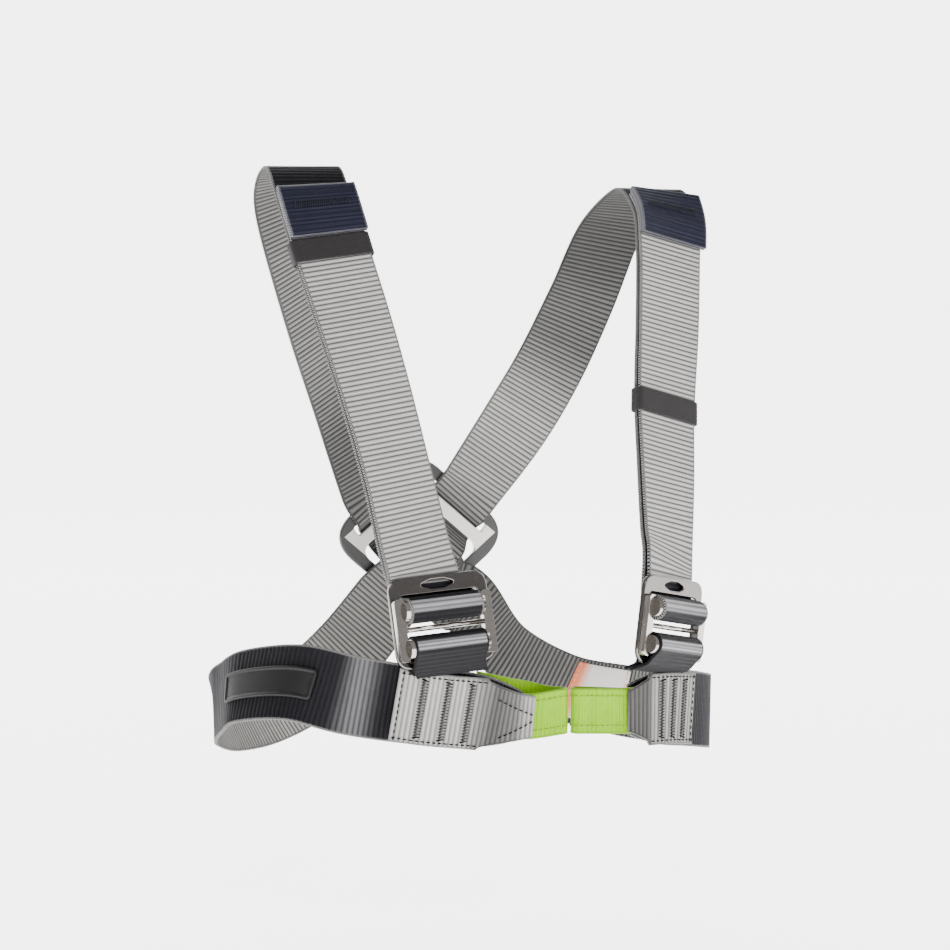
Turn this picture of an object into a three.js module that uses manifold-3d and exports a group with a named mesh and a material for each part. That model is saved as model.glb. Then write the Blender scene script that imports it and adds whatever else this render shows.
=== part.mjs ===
// Climbing chest harness, shown as it is worn. Millimetres, +Z up, the wearer faces -Y.
// The origin lies between the shoulders, level with the crest of the wearer's right shoulder strap.
// Wide webbing runs from each sewn front patch round the chest, up the back through a metal plate,
// over the other shoulder and down to a double-frame buckle. Two narrow loops join the patches.
import * as THREE from "three";
import { mergeVertices } from "three/addons/utils/BufferGeometryUtils.js";
import Module from "manifold-3d";

// Webbing
const WEB_WIDTH = 45;
const WEB_THICK = 2;
const LAYER_GAP = 0.3;
const LAYER_STEP = WEB_THICK + LAYER_GAP;
const TAIL_LIFT = 3.5; // the doubled tail lies this far outside the strap below it
const STRAP_STEPS = 5; // faceted steps between two rows of a table

// Where the harness meets the body, as distances from the origin
const SHOULDER_RIGHT = { across: -121, along: 4, up: 2 };
const SHOULDER_LEFT = { across: 105, along: 0, up: -8 };
const TIE_DROP = 312;
const FLANK_RISE_RIGHT = 8; // the bands' middles at the flanks, above the loops
const FLANK_RISE_LEFT = -14;
const BUCKLE_RISE_RIGHT = 53;
const BUCKLE_RISE_LEFT = 47;
const CHEST_FRONT = 96;
const CHEST_BACK = 102;
const FLANK_RIGHT = { across: -176, along: -4, up: FLANK_RISE_RIGHT - TIE_DROP };
const FLANK_LEFT = { across: 136, along: -2, up: FLANK_RISE_LEFT - TIE_DROP };
const BUCKLE_RIGHT = { across: -81.5, along: -CHEST_FRONT, up: BUCKLE_RISE_RIGHT - TIE_DROP };
const BUCKLE_LEFT = { across: 61, along: -CHEST_FRONT, up: BUCKLE_RISE_LEFT - TIE_DROP };
const BUCKLE_TURN_RIGHT = -11; // degrees: this buckle hangs more upright than the strap in it
const TURN_FADE = 55; // length of strap over which that turn fades

// Back plate: a rounded rhombus with two slots over a roof-shaped web
const PLATE_WIDTH = 105;
const PLATE_DROP = 221.5;
const PLATE_THICK = 3;
const PLATE_SLOPE = THREE.MathUtils.degToRad(39);
const PLATE_CORNER = 20;
const RIM_WIDTH = 7.5;
const SLOT_WIDTH = 6;
const SLOT_LENGTH = WEB_WIDTH + 2;
const WEB_LEG = 8.5;
const SLOT_OFF_CENTRE = 23.6;

// Buckle: a rear frame with a wide top plate and a ladder frame with two round bars in front of it
const BUCKLE_WIDTH = 61;
const BUCKLE_THROAT = WEB_WIDTH + 3;
const REAR_TOP = 29.5;
const REAR_BOTTOM = -21.5;
const REAR_PLATE = 10;
const REAR_FOOT = 4;
const REAR_THICK = 2.6;
const REAR_LIFT = 5.1;
const LENS_LENGTH = 24;
const LENS_HEIGHT = 5;
const BAR_DIAMETER = 10.5;
const BAR_UPPER = 10.8;
const BAR_LOWER = -10.4;
const LADDER_REACH = 17.5;
const LADDER_THICK = 4;
const LADDER_LIFT = REAR_LIFT + REAR_THICK + LAYER_GAP;
const CENTRE_BAR = 3;
const ROLL_RADIUS = BAR_DIAMETER / 2 + LAYER_GAP + WEB_THICK / 2;
const BAR_LIFT = LADDER_LIFT + LADDER_THICK / 2 + 1;

// Sewn and small pieces
const PATCH_RIGHT = { length: 51, nose: 33, end: 24 };
const PATCH_LEFT = { length: 36, nose: 15, end: 36 };
const PATCH_WIDTH = 42;
const PATCH_LIFT = 3 * LAYER_STEP + 0.6;
const NOSE_WIDTH = 24;
const LOOP_WIDTH = 26.5;
const LOOP_THICK = 1.8;
const LOOP_MEET = 1.4; // where the two loops meet, across
const LOOP_HOLD = 15; // length of a loop's arms under the patch's nose
const LOOP_BACK = 36; // length of the right loop's arm behind the band, which lies higher
const LOOP_RISE = 6.5;
const LOOP_OPEN_RIGHT = 11;
const LOOP_OPEN_LEFT = 9.5;
const TAB_LENGTH = 31;
const TAB_THICK = 4.4;
const TAB_WIDTH = WEB_WIDTH + 1.5;
const KEEPER_HEIGHT = 14;
const KEEPER_THICK = 1.2;
const TAIL_SHARE_RIGHT = 0.465; // the tails' ends, as shares of the straps' lengths
const TAIL_SHARE_LEFT = 0.49;
const KEEPER_SHARE_LEFT = 0.244;
const LABEL_SHARE = 0.679; // the labels' middles, as shares of the bands' lengths
const CARE_SHARE = 0.453;
const LABEL_LENGTH = 64;
const LABEL_HEIGHT = 18;
const LABEL_THICK = 1.6;
const CARE_LENGTH = 40;
const CARE_HEIGHT = 38;
const CARE_THICK = 1;

// Each table holds one row for a place on a strap, as shares of the way from its first anchor to its last:
// across, along and up. rise is a share of the webbing's width above that line. face and tilt say
// where the outer side looks, in degrees: face from the front round to the wearer's left, tilt from
// level (0) over the top (90) to the back (180). wide is a share of the webbing's width.
const COLUMNS = ["across", "along", "up", "rise", "face", "tilt", "wide"];

const FRONT_RIGHT = [
  [0.0, 0.0, 0.0, 0, 0, 7, 1],
  [0.28, 0.07, 0.16, 0, 5, 10, 1],
  [0.49, 0.15, 0.33, 0, 8, 14, 1],
  [0.68, 0.25, 0.49, 0, 4, 17, 1],
  [0.87, 0.38, 0.65, 0, -3, 22, 1],
  [1.02, 0.55, 0.8, 0, -8, 32, 1],
  [1.07, 0.76, 0.93, 0, -11, 54, 1],
  [1.0, 1.0, 1.0, 0, -4, 93, 1],
];
const BACK_RIGHT = [
  [0.09, 0.41, 0.07, 0, 7, 146, 1],
  [0.26, 0.62, 0.27, 0, 17, 171, 1],
  [0.48, 0.77, 0.5, 0, 19, 178, 1],
  [0.715, 0.88, 0.73, 0, 17, 181, 1],
];
const FRONT_LEFT = [
  [0.0, 0.0, 0.0, 0, 27, 0, 1],
  [0.11, 0.02, 0.12, 0, 27, 4, 1],
  [0.2, 0.1, 0.2, 0, 25, 9, 1],
  [0.31, 0.2, 0.34, 0, 20, 12, 1],
  [0.46, 0.34, 0.5, 0, 16, 14, 1],
  [0.66, 0.47, 0.68, 0, 13, 19, 1],
  [0.84, 0.61, 0.84, 0, 13, 28, 1],
  [0.96, 0.74, 0.94, 0, 12, 48, 1],
  [1.0, 1.0, 1.0, 0, 5, 88, 1],
];
const BACK_LEFT = [
  [0.05, 0.38, 0.12, 0, -5, 136, 1],
  [0.17, 0.63, 0.36, 0, -9, 163, 1],
  [0.39, 0.77, 0.59, 0, -13, 173, 1],
  [0.66, 0.88, 0.79, 0, -11, 179, 1],
];
const BAND_RIGHT_BACK = [
  [0.232, 0.078, 0.545, 0, -183, -2, 1],
  [0.36, 0.09, 0.84, 0, -183, -20, 1],
  [0.51, 0.13, 1.07, 0, -171, -31, 1],
  [0.7, 0.28, 1.19, 0, -148, -33, 1],
  [0.88, 0.54, 1.18, 0, -118, -23, 1],
  [0.98, 0.82, 1.08, 0, -93, 2, 1],
  [1.0, 1.0, 1.0, 0, -78, 17, 1],
];
const BAND_RIGHT_FRONT = [
  [0.02, 0.24, -0.1, 0.19, -63, 26, 1],
  [0.14, 0.62, -0.2, 0.28, -42, 23, 1],
  [0.31, 0.83, 0.0, 0.17, -26, 6, 1],
  [0.55, 0.95, 0.2, 0.06, -14, -6, 1],
  [0.76, 0.98, 0.5, 0.02, -8, -7, 0.97],
  [0.9, 0.98, 0.8, 0.0, -5, -4, 0.78],
  [1.0, 0.97, 1.0, 0.0, -3, 0, 0.53],
];
const BAND_LEFT_BACK = [
  [0.34, 0.085, 0.49, 0, 184, -9, 1],
  [0.5, 0.1, 0.75, 0, 185, -24, 1],
  [0.71, 0.24, 0.94, 0, 167, -24, 1],
  [0.87, 0.52, 1.0, 0, 139, -16, 1],
  [0.96, 0.8, 1.01, 0, 110, -10, 1],
  [1.0, 1.0, 1.0, 0, 95, -6, 1],
];
const BAND_LEFT_FRONT = [
  [0.02, 0.24, 0.05, 0, 80, -4, 1],
  [0.18, 0.54, 0.35, 0, 59, -1, 1],
  [0.46, 0.8, 0.75, 0, 36, 0, 1],
  [0.68, 0.91, 0.95, 0, 24, 0, 0.98],
  [0.86, 0.96, 1.0, 0, 16, 0, 0.8],
  [1.0, 0.98, 1.0, 0, 8, 0, 0.55],
];

// Colours as the photograph shows them
const FINISH = {
  lightWeb: { color: 0xc4c2bf, roughness: 0.75, metalness: 0 },
  darkWeb: { color: 0x3a393f, roughness: 0.6, metalness: 0 },
  navyWeb: { color: 0x3c3c4b, roughness: 0.6, metalness: 0 },
  elastic: { color: 0x3b3939, roughness: 0.8, metalness: 0 },
  lime: { color: 0xc3d728, roughness: 0.65, metalness: 0 },
  steel: { color: 0x77736e, roughness: 0.25, metalness: 1 },
  rubber: { color: 0x2b2729, roughness: 0.5, metalness: 0 },
  care: { color: 0xf6ece6, roughness: 0.8, metalness: 0 },
};

const wasm = await Module();
wasm.setup();

const harness = new THREE.Group();
harness.name = "climbing_chest_harness";

function vector(place) {
  return new THREE.Vector3(place.across, place.along, place.up);
}

function rad(degrees) {
  return THREE.MathUtils.degToRad(degrees);
}

// A closed mesh over sections of the same number of corners, with flat ends
function loft(sections, closedLoop = false) {
  const size = sections[0].length;
  const positions = sections.flat().flatMap((p) => [p.x, p.y, p.z]);
  const index = [];
  const last = closedLoop ? sections.length : sections.length - 1;
  for (let i = 0; i < last; i += 1) {
    const here = i * size;
    const next = ((i + 1) % sections.length) * size;
    for (let j = 0; j < size; j += 1) {
      const k = (j + 1) % size;
      index.push(here + j, next + j, next + k, here + j, next + k, here + k);
    }
  }
  if (!closedLoop) {
    const end = (sections.length - 1) * size;
    for (let j = 1; j < size - 1; j += 1) {
      index.push(0, j, j + 1);
      index.push(end, end + j + 1, end + j);
    }
  }
  const geometry = new THREE.BufferGeometry();
  geometry.setAttribute("position", new THREE.Float32BufferAttribute(positions, 3));
  geometry.setIndex(index);
  return geometry;
}

function solidOf(geometry) {
  const bare = geometry.clone();
  bare.deleteAttribute("normal");
  bare.deleteAttribute("uv");
  const merged = mergeVertices(bare, 1e-4);
  const mesh = new wasm.Mesh({
    numProp: 3,
    vertProperties: merged.attributes.position.array,
    triVerts: new Uint32Array(merged.index.array),
  });
  const solid = new wasm.Manifold(mesh);
  if (solid.volume() > 0) return solid;
  mesh.triVerts = new Uint32Array(merged.index.array).reverse();
  return new wasm.Manifold(new wasm.Mesh(mesh));
}

function geometryOf(solid) {
  const mesh = solid.getMesh();
  const geometry = new THREE.BufferGeometry();
  geometry.setAttribute("position", new THREE.BufferAttribute(mesh.vertProperties, 3));
  geometry.setIndex(new THREE.BufferAttribute(mesh.triVerts, 1));
  return geometry;
}

function add(name, geometry, finish) {
  const flat = geometryOf(solidOf(geometry)).toNonIndexed();
  flat.computeVertexNormals();
  const mesh = new THREE.Mesh(flat, new THREE.MeshStandardMaterial(FINISH[finish]));
  mesh.name = name;
  harness.add(mesh);
  return mesh;
}

// The rows of a table as places and directions between two anchors
function rows(table, from, to) {
  return table.map((values) => {
    const row = Object.fromEntries(COLUMNS.map((name, i) => [name, values[i]]));
    const mix = (axis) => from[axis] + (to[axis] - from[axis]) * row[axis];
    return {
      across: mix("across"),
      along: mix("along"),
      up: mix("up") + row.rise * WEB_WIDTH,
      face: row.face,
      tilt: row.tilt,
      wide: row.wide * WEB_WIDTH,
    };
  });
}

function outward(face, tilt) {
  return new THREE.Vector3(
    Math.sin(rad(face)) * Math.cos(rad(tilt)),
    -Math.cos(rad(face)) * Math.cos(rad(tilt)),
    Math.sin(rad(tilt)),
  );
}

// Places along a smooth curve through the rows: centre, side, outward direction and width
function follow(places, steps = STRAP_STEPS) {
  const keys = ["across", "along", "up", "face", "tilt", "wide"];
  const at = (i) => places[THREE.MathUtils.clamp(i, 0, places.length - 1)];
  const blend = (i, t) => {
    const out = {};
    for (const key of keys) {
      const [a, b, c, d] = [at(i - 1)[key], at(i)[key], at(i + 1)[key], at(i + 2)[key]];
      const linear = (c - a) * t;
      const square = (2 * a - 5 * b + 4 * c - d) * t * t;
      const cubic = (3 * b - a - 3 * c + d) * t * t * t;
      out[key] = 0.5 * (2 * b + linear + square + cubic);
    }
    return out;
  };
  const samples = [];
  for (let i = 0; i < places.length - 1; i += 1)
    for (let k = 0; k < steps; k += 1) samples.push(blend(i, k / steps));
  samples.push(blend(places.length - 2, 1));
  const centres = samples.map(vector);
  return samples.map((sample, i) => {
    const before = centres[Math.max(i - 1, 0)];
    const after = centres[Math.min(i + 1, centres.length - 1)];
    const tangent = after.clone().sub(before).normalize();
    const out = outward(sample.face, sample.tilt);
    out.addScaledVector(tangent, -out.dot(tangent)).normalize();
    const side = tangent.clone().cross(out);
    return { centre: centres[i], tangent, out, side, wide: sample.wide };
  });
}

function lifted(frame, lift, slide = 0, wide = frame.wide) {
  const centre = frame.centre.clone();
  centre.addScaledVector(frame.out, lift).addScaledVector(frame.side, slide);
  return { ...frame, centre, wide };
}

// A strip of webbing through the frames
function strip(frames, thick = WEB_THICK) {
  const sections = frames.map((frame) => {
    const corner = (a, b) =>
      frame.centre
        .clone()
        .addScaledVector(frame.side, (a * frame.wide) / 2)
        .addScaledVector(frame.out, (b * thick) / 2);
    return [corner(-1, -1), corner(-1, 1), corner(1, 1), corner(1, -1)];
  });
  return loft(sections);
}

// Distance along the frames from the first one
function distances(frames) {
  let sum = 0;
  return frames.map((frame, i) => {
    if (i > 0) sum += frame.centre.distanceTo(frames[i - 1].centre);
    return sum;
  });
}

// The frame at a distance along the frames, mixed from its two neighbours
function frameAt(frames, distance) {
  const along = distances(frames);
  let i = along.findIndex((d) => d >= distance);
  if (i < 1) i = i < 0 ? frames.length - 1 : 1;
  const t = (distance - along[i - 1]) / (along[i] - along[i - 1]);
  const [a, b] = [frames[i - 1], frames[i]];
  const mixed = (key) => a[key].clone().lerp(b[key], t);
  return {
    centre: mixed("centre"),
    tangent: mixed("tangent").normalize(),
    out: mixed("out").normalize(),
    side: mixed("side").normalize(),
    wide: THREE.MathUtils.lerp(a.wide, b.wide, t),
  };
}

function between(frames, start, end) {
  const along = distances(frames);
  const inside = frames.filter((_, i) => along[i] > start + 1 && along[i] < end - 1);
  return [frameAt(frames, start), ...inside, frameAt(frames, end)];
}

// A flat outline pushed along its own frame: x to the side, y along the strap, z outward
function plate(shape, depth, frame, lift) {
  const geometry = new THREE.ExtrudeGeometry(shape, {
    depth,
    bevelEnabled: false,
    curveSegments: 6,
  });
  const basis = new THREE.Matrix4().makeBasis(frame.side, frame.tangent, frame.out);
  geometry.translate(0, 0, lift);
  geometry.applyMatrix4(basis);
  geometry.translate(frame.centre.x, frame.centre.y, frame.centre.z);
  return geometry;
}

// An outline through corners with each corner rounded
function rounded(corners, radius, Kind = THREE.Shape) {
  const path = new Kind();
  const count = corners.length;
  corners.forEach(([x, y], i) => {
    const here = new THREE.Vector2(x, y);
    const before = new THREE.Vector2(...corners[(i + count - 1) % count]).sub(here);
    const after = new THREE.Vector2(...corners[(i + 1) % count]).sub(here);
    const half = Math.acos(before.clone().normalize().dot(after.clone().normalize())) / 2;
    const cut = Math.min(radius / Math.tan(half), before.length() / 2.05, after.length() / 2.05);
    const start = here.clone().addScaledVector(before.normalize(), cut);
    const end = here.clone().addScaledVector(after.normalize(), cut);
    if (i === 0) path.moveTo(start.x, start.y);
    else path.lineTo(start.x, start.y);
    path.quadraticCurveTo(x, y, end.x, end.y);
  });
  path.closePath();
  return path;
}

function box(halfWidth, bottom, top) {
  return [
    [-halfWidth, bottom],
    [halfWidth, bottom],
    [halfWidth, top],
    [-halfWidth, top],
  ];
}

// Back plate
const slope = Math.tan(PLATE_SLOPE);
const upright = 1 / Math.cos(PLATE_SLOPE); // height of a band of unit width on the slope
const endCentre = PLATE_WIDTH / 2 - PLATE_CORNER;
const outerTop = endCentre * slope + PLATE_CORNER * upright;
const slotTop = outerTop - RIM_WIDTH * upright;
const legTop = slotTop - SLOT_WIDTH * upright;
const legBottom = legTop - WEB_LEG * upright;
const LOWER_EDGE = (slotTop + legTop - (WEB_LEG / 2) * upright) * Math.cos(PLATE_SLOPE);
const legCentre = {
  across: SLOT_OFF_CENTRE - (WEB_LEG / 2) * Math.sin(PLATE_SLOPE),
  up: legTop - SLOT_OFF_CENTRE * slope - (WEB_LEG / 2) * Math.cos(PLATE_SLOPE),
};

function rhombusCorners(top) {
  return [
    [0, -top],
    [top / slope, 0],
    [0, top],
    [-top / slope, 0],
  ];
}

function slotHole(hand) {
  const along = new THREE.Vector2(hand * Math.cos(PLATE_SLOPE), -Math.sin(PLATE_SLOPE));
  const down = new THREE.Vector2(-hand * Math.sin(PLATE_SLOPE), -Math.cos(PLATE_SLOPE));
  const top = new THREE.Vector2(hand * SLOT_OFF_CENTRE, legTop - SLOT_OFF_CENTRE * slope);
  const middle = top.addScaledVector(down, -SLOT_WIDTH / 2);
  const corner = (a, b) =>
    middle
      .clone()
      .addScaledVector(along, (a * SLOT_LENGTH) / 2)
      .addScaledVector(down, (b * SLOT_WIDTH) / 2)
      .toArray();
  return rounded([corner(-1, -1), corner(1, -1), corner(1, 1), corner(-1, 1)], 1.5, THREE.Path);
}

function backPlate() {
  const outline = rounded(rhombusCorners(outerTop), PLATE_CORNER);
  const lowerTop = -slotTop;
  const meet = (legBottom - lowerTop) / (2 * slope);
  const lower = [
    [0, lowerTop],
    [meet, (legBottom + lowerTop) / 2],
    [0, legBottom],
    [-meet, (legBottom + lowerTop) / 2],
  ];
  outline.holes.push(slotHole(1), slotHole(-1), rounded(lower, 7, THREE.Path));
  const frame = {
    centre: new THREE.Vector3(0, CHEST_BACK, -PLATE_DROP),
    side: new THREE.Vector3(-1, 0, 0),
    tangent: new THREE.Vector3(0, 0, 1),
    out: new THREE.Vector3(0, 1, 0),
  };
  add("back_plate", plate(outline, PLATE_THICK, frame, -PLATE_THICK / 2), "steel");
}

// A place on a strap at the plate. hand is the side of the leg, reach is the distance from the leg's
// middle up the shoulder strap, and back is the distance behind the plate's middle.
const PLATE_CLEAR = PLATE_THICK / 2 + LAYER_GAP + WEB_THICK / 2;
const LEG_EDGE = WEB_LEG / 2;
const RIM_EDGE = LEG_EDGE + SLOT_WIDTH;
const PLATE_WEB = WEB_WIDTH - 3; // the webbing is gathered a little in the slots

function plateRow(hand, reach, back, face, wide = PLATE_WEB) {
  return {
    across: hand * (legCentre.across + reach * Math.sin(PLATE_SLOPE)),
    along: CHEST_BACK + back,
    up: -PLATE_DROP + legCentre.up + reach * Math.cos(PLATE_SLOPE),
    face,
    tilt: 180,
    wide,
  };
}

// Frames at the plate, straight from one to the next: reach and back of each
function platePath(hand, turns) {
  const direction = new THREE.Vector3(Math.sin(PLATE_SLOPE) * hand, 0, Math.cos(PLATE_SLOPE));
  const side = direction.clone().cross(new THREE.Vector3(0, -1, 0));
  const out = new THREE.Vector3(0, 1, 0);
  return turns.map(([reach, back]) => {
    const centre = vector(plateRow(hand, reach, back, 0));
    return { centre, out, side, tangent: direction.clone().negate(), wide: PLATE_WEB };
  });
}

function shoulderPath(hand) {
  const right = hand < 0;
  const buckle = right ? BUCKLE_RIGHT : BUCKLE_LEFT;
  const shoulder = right ? SHOULDER_RIGHT : SHOULDER_LEFT;
  const rim = plateRow(hand, RIM_EDGE + RIM_WIDTH + 4, -PLATE_CLEAR - 0.8, -2 * hand);
  const above = follow([
    ...rows(right ? FRONT_RIGHT : FRONT_LEFT, buckle, shoulder),
    ...rows(right ? BACK_RIGHT : BACK_LEFT, shoulder, rim),
    rim,
  ]);
  const through = platePath(hand, [
    [RIM_EDGE + RIM_WIDTH - 1, -PLATE_CLEAR - 0.3],
    [RIM_EDGE - 1, -PLATE_CLEAR],
    [LEG_EDGE + 1, PLATE_CLEAR],
    [LAYER_GAP / 2, PLATE_CLEAR],
  ]);
  const path = [...above, ...through];
  return right ? turned(path, rad(BUCKLE_TURN_RIGHT)) : path;
}

// The start of a path turned round its outward direction, less and less along it
function turned(path, turn) {
  const reach = distances(path);
  return path.map((frame, i) => {
    const angle = turn * Math.max(1 - reach[i] / TURN_FADE, 0);
    const side = frame.side.clone().applyAxisAngle(frame.out, angle);
    const tangent = frame.tangent.clone().applyAxisAngle(frame.out, angle);
    return { ...frame, side, tangent };
  });
}

// The chest band of one side starts behind the plate's leg of the other side. The right band comes
// forward at once and crosses in front of the left one, which comes forward at the lower rim.
const BAND_TURNS_RIGHT = [
  [-LAYER_GAP / 2, PLATE_CLEAR],
  [-LEG_EDGE - 0.7, PLATE_CLEAR],
  [-LEG_EDGE - 10, -PLATE_CLEAR - LAYER_STEP - 0.8],
  [-LEG_EDGE - 42, -PLATE_CLEAR - LAYER_STEP - 0.8],
];
const BAND_TURNS_LEFT = [
  [-LAYER_GAP / 2, PLATE_CLEAR],
  [-LEG_EDGE - 0.3, PLATE_CLEAR + 0.4],
  [-LEG_EDGE - 4, PLATE_CLEAR + LAYER_STEP + 0.4],
  [-LEG_EDGE - 12, PLATE_CLEAR + 1],
  [-LEG_EDGE - 38, -PLATE_CLEAR - 0.5],
];

function bandPath(hand) {
  const right = hand < 0;
  const flank = right ? FLANK_RIGHT : FLANK_LEFT;
  const turn = right ? -180 : 180;
  const leg = -hand;
  const level = (row) => ({ ...row, tilt: 0, face: turn });
  const start = plateRow(leg, -LAYER_GAP / 2, PLATE_CLEAR, 0);
  const end = {
    across: hand * (right ? PATCH_RIGHT : PATCH_LEFT).end,
    along: -CHEST_FRONT - 1,
    up: -TIE_DROP,
  };
  const rim = level(plateRow(leg, -LOWER_EDGE - 9, -PLATE_CLEAR - 0.5, 0, WEB_WIDTH));
  const rest = follow([
    ...(right ? [] : [rim]),
    ...rows(right ? BAND_RIGHT_BACK : BAND_LEFT_BACK, start, flank),
    ...rows(right ? BAND_RIGHT_FRONT : BAND_LEFT_FRONT, flank, end),
  ]);
  const through = platePath(leg, right ? BAND_TURNS_RIGHT : BAND_TURNS_LEFT);
  const flip = rest[0].side.dot(through[0].side) < 0;
  if (flip) for (const frame of through) frame.side = frame.side.clone().negate();
  return [...through, ...rest];
}

// A place in the buckle's own frame: up along the strap, lift outward from it
function inBuckle(frame, up, lift, out = frame.out) {
  const centre = frame.centre.clone();
  centre.addScaledVector(frame.tangent, up).addScaledVector(frame.out, lift);
  return { centre, side: frame.side, out, wide: WEB_WIDTH };
}

// Webbing round a bar, from one angle to the other: 0 is straight out, 90 is up
function roll(frame, barUp, from, to, count = 10) {
  return Array.from({ length: count + 1 }, (_, i) => {
    const angle = rad(from + ((to - from) * i) / count);
    const out = frame.out.clone().multiplyScalar(Math.cos(angle));
    out.addScaledVector(frame.tangent, Math.sin(angle));
    const up = barUp + ROLL_RADIUS * Math.sin(angle);
    const lift = BAR_LIFT + ROLL_RADIUS * Math.cos(angle);
    return inBuckle(frame, up, lift, out);
  });
}

// Directions of frames whose centres were set by hand, so that the strip keeps its thickness
function aligned(frames) {
  return frames.map((frame, i) => {
    const before = frames[Math.max(i - 1, 0)].centre;
    const after = frames[Math.min(i + 1, frames.length - 1)].centre;
    const tangent = after.clone().sub(before).normalize();
    const out = frame.side.clone().cross(tangent).normalize();
    return { ...frame, tangent, out };
  });
}

const ROLL_BACK = -150; // where the strap leaves the upper bar towards the body
const ROLL_FRONT = 88; // where it leaves towards the tail

function shoulderStrap(name, path) {
  const base = path[0];
  const back = roll(base, BAR_UPPER, ROLL_BACK, ROLL_BACK, 1)[0];
  const leaving = rad(ROLL_BACK);
  const tip = inBuckle(
    base,
    BAR_UPPER + ROLL_RADIUS * Math.sin(leaving) + 0.6,
    BAR_LIFT + ROLL_RADIUS * Math.cos(leaving) - 0.35,
    back.out.clone().negate(),
  );
  const start = [
    tip,
    inBuckle(base, BAR_UPPER + 1.4, 2.6),
    inBuckle(base, BAR_UPPER + 6.5, 0.6),
    inBuckle(base, BAR_UPPER + 12, 0.1),
  ];
  const total = distances(path).at(-1);
  const rest = between(path, REAR_TOP + 1, total);
  add(name, strip(aligned([...start, ...rest])), "darkWeb");
}

function strapTail(name, path, tailLength) {
  const base = path[0];
  const behindPlate = (distance) => {
    const frame = frameAt(path, distance);
    const off = frame.centre.clone().sub(base.centre).dot(base.out);
    return lifted({ ...frame, side: base.side, out: base.out }, TAIL_LIFT + 0.2 - off);
  };
  const wrap = roll(base, BAR_UPPER, ROLL_BACK, ROLL_FRONT, 14);
  const under = [
    inBuckle(base, BAR_UPPER + ROLL_RADIUS + 0.1, BAR_LIFT - 2.4),
    inBuckle(base, BAR_UPPER + ROLL_RADIUS + 0.5, TAIL_LIFT + 2.2),
    inBuckle(base, BAR_UPPER + ROLL_RADIUS + 2, TAIL_LIFT + 0.3),
    behindPlate(REAR_TOP - 5.5),
    behindPlate(REAR_TOP),
  ];
  const rest = between(path, REAR_TOP + 6, tailLength).map((frame) => lifted(frame, TAIL_LIFT));
  add(name, strip([...wrap, ...aligned([...under, ...rest])]), "lightWeb");
}

// The folded and sewn end of a tail, which stops it in the buckle
function stopperTab(name, path, tailLength) {
  const lift = TAIL_LIFT + WEB_THICK / 2 + 3 * LAYER_GAP + TAB_THICK / 2;
  const frames = between(path, tailLength - TAB_LENGTH, tailLength + 0.5);
  add(name, strip(frames.map((frame) => lifted(frame, lift, 0, TAB_WIDTH)), TAB_THICK), "navyWeb");
}

// An elastic ring round both layers of the strap
function keeper(name, path, distance) {
  const frame = frameAt(path, distance);
  const depth = TAIL_LIFT + WEB_THICK + 2 * 0.5;
  const ring = (grow) => box(WEB_WIDTH / 2 + 0.6 + grow, -depth / 2 - grow, depth / 2 + grow);
  const outline = rounded(ring(KEEPER_THICK), 2);
  outline.holes.push(rounded(ring(0), 1, THREE.Path));
  const turned = {
    centre: frame.centre.clone().addScaledVector(frame.out, TAIL_LIFT / 2),
    side: frame.side,
    tangent: frame.out,
    out: frame.tangent.clone().negate(),
  };
  const geometry = plate(outline, KEEPER_HEIGHT, turned, -KEEPER_HEIGHT / 2);
  add(name, geometry, "elastic");
}

function rearFrame(name, frame) {
  const outline = rounded(box(BUCKLE_WIDTH / 2, REAR_BOTTOM, REAR_TOP), 9);
  const throat = box(BUCKLE_THROAT / 2 + 0.6, REAR_BOTTOM + REAR_FOOT, REAR_TOP - REAR_PLATE);
  outline.holes.push(rounded(throat, 3, THREE.Path));
  const middle = REAR_TOP - REAR_PLATE / 2;
  const lens = [
    [-LENS_LENGTH / 2, middle],
    [-LENS_LENGTH / 6, middle - LENS_HEIGHT / 2],
    [LENS_LENGTH / 6, middle - LENS_HEIGHT / 2],
    [LENS_LENGTH / 2, middle],
    [LENS_LENGTH / 6, middle + LENS_HEIGHT / 2],
    [-LENS_LENGTH / 6, middle + LENS_HEIGHT / 2],
  ];
  outline.holes.push(rounded(lens, 2, THREE.Path));
  add(name, plate(outline, REAR_THICK, frame, REAR_LIFT), "steel");
}

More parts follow.
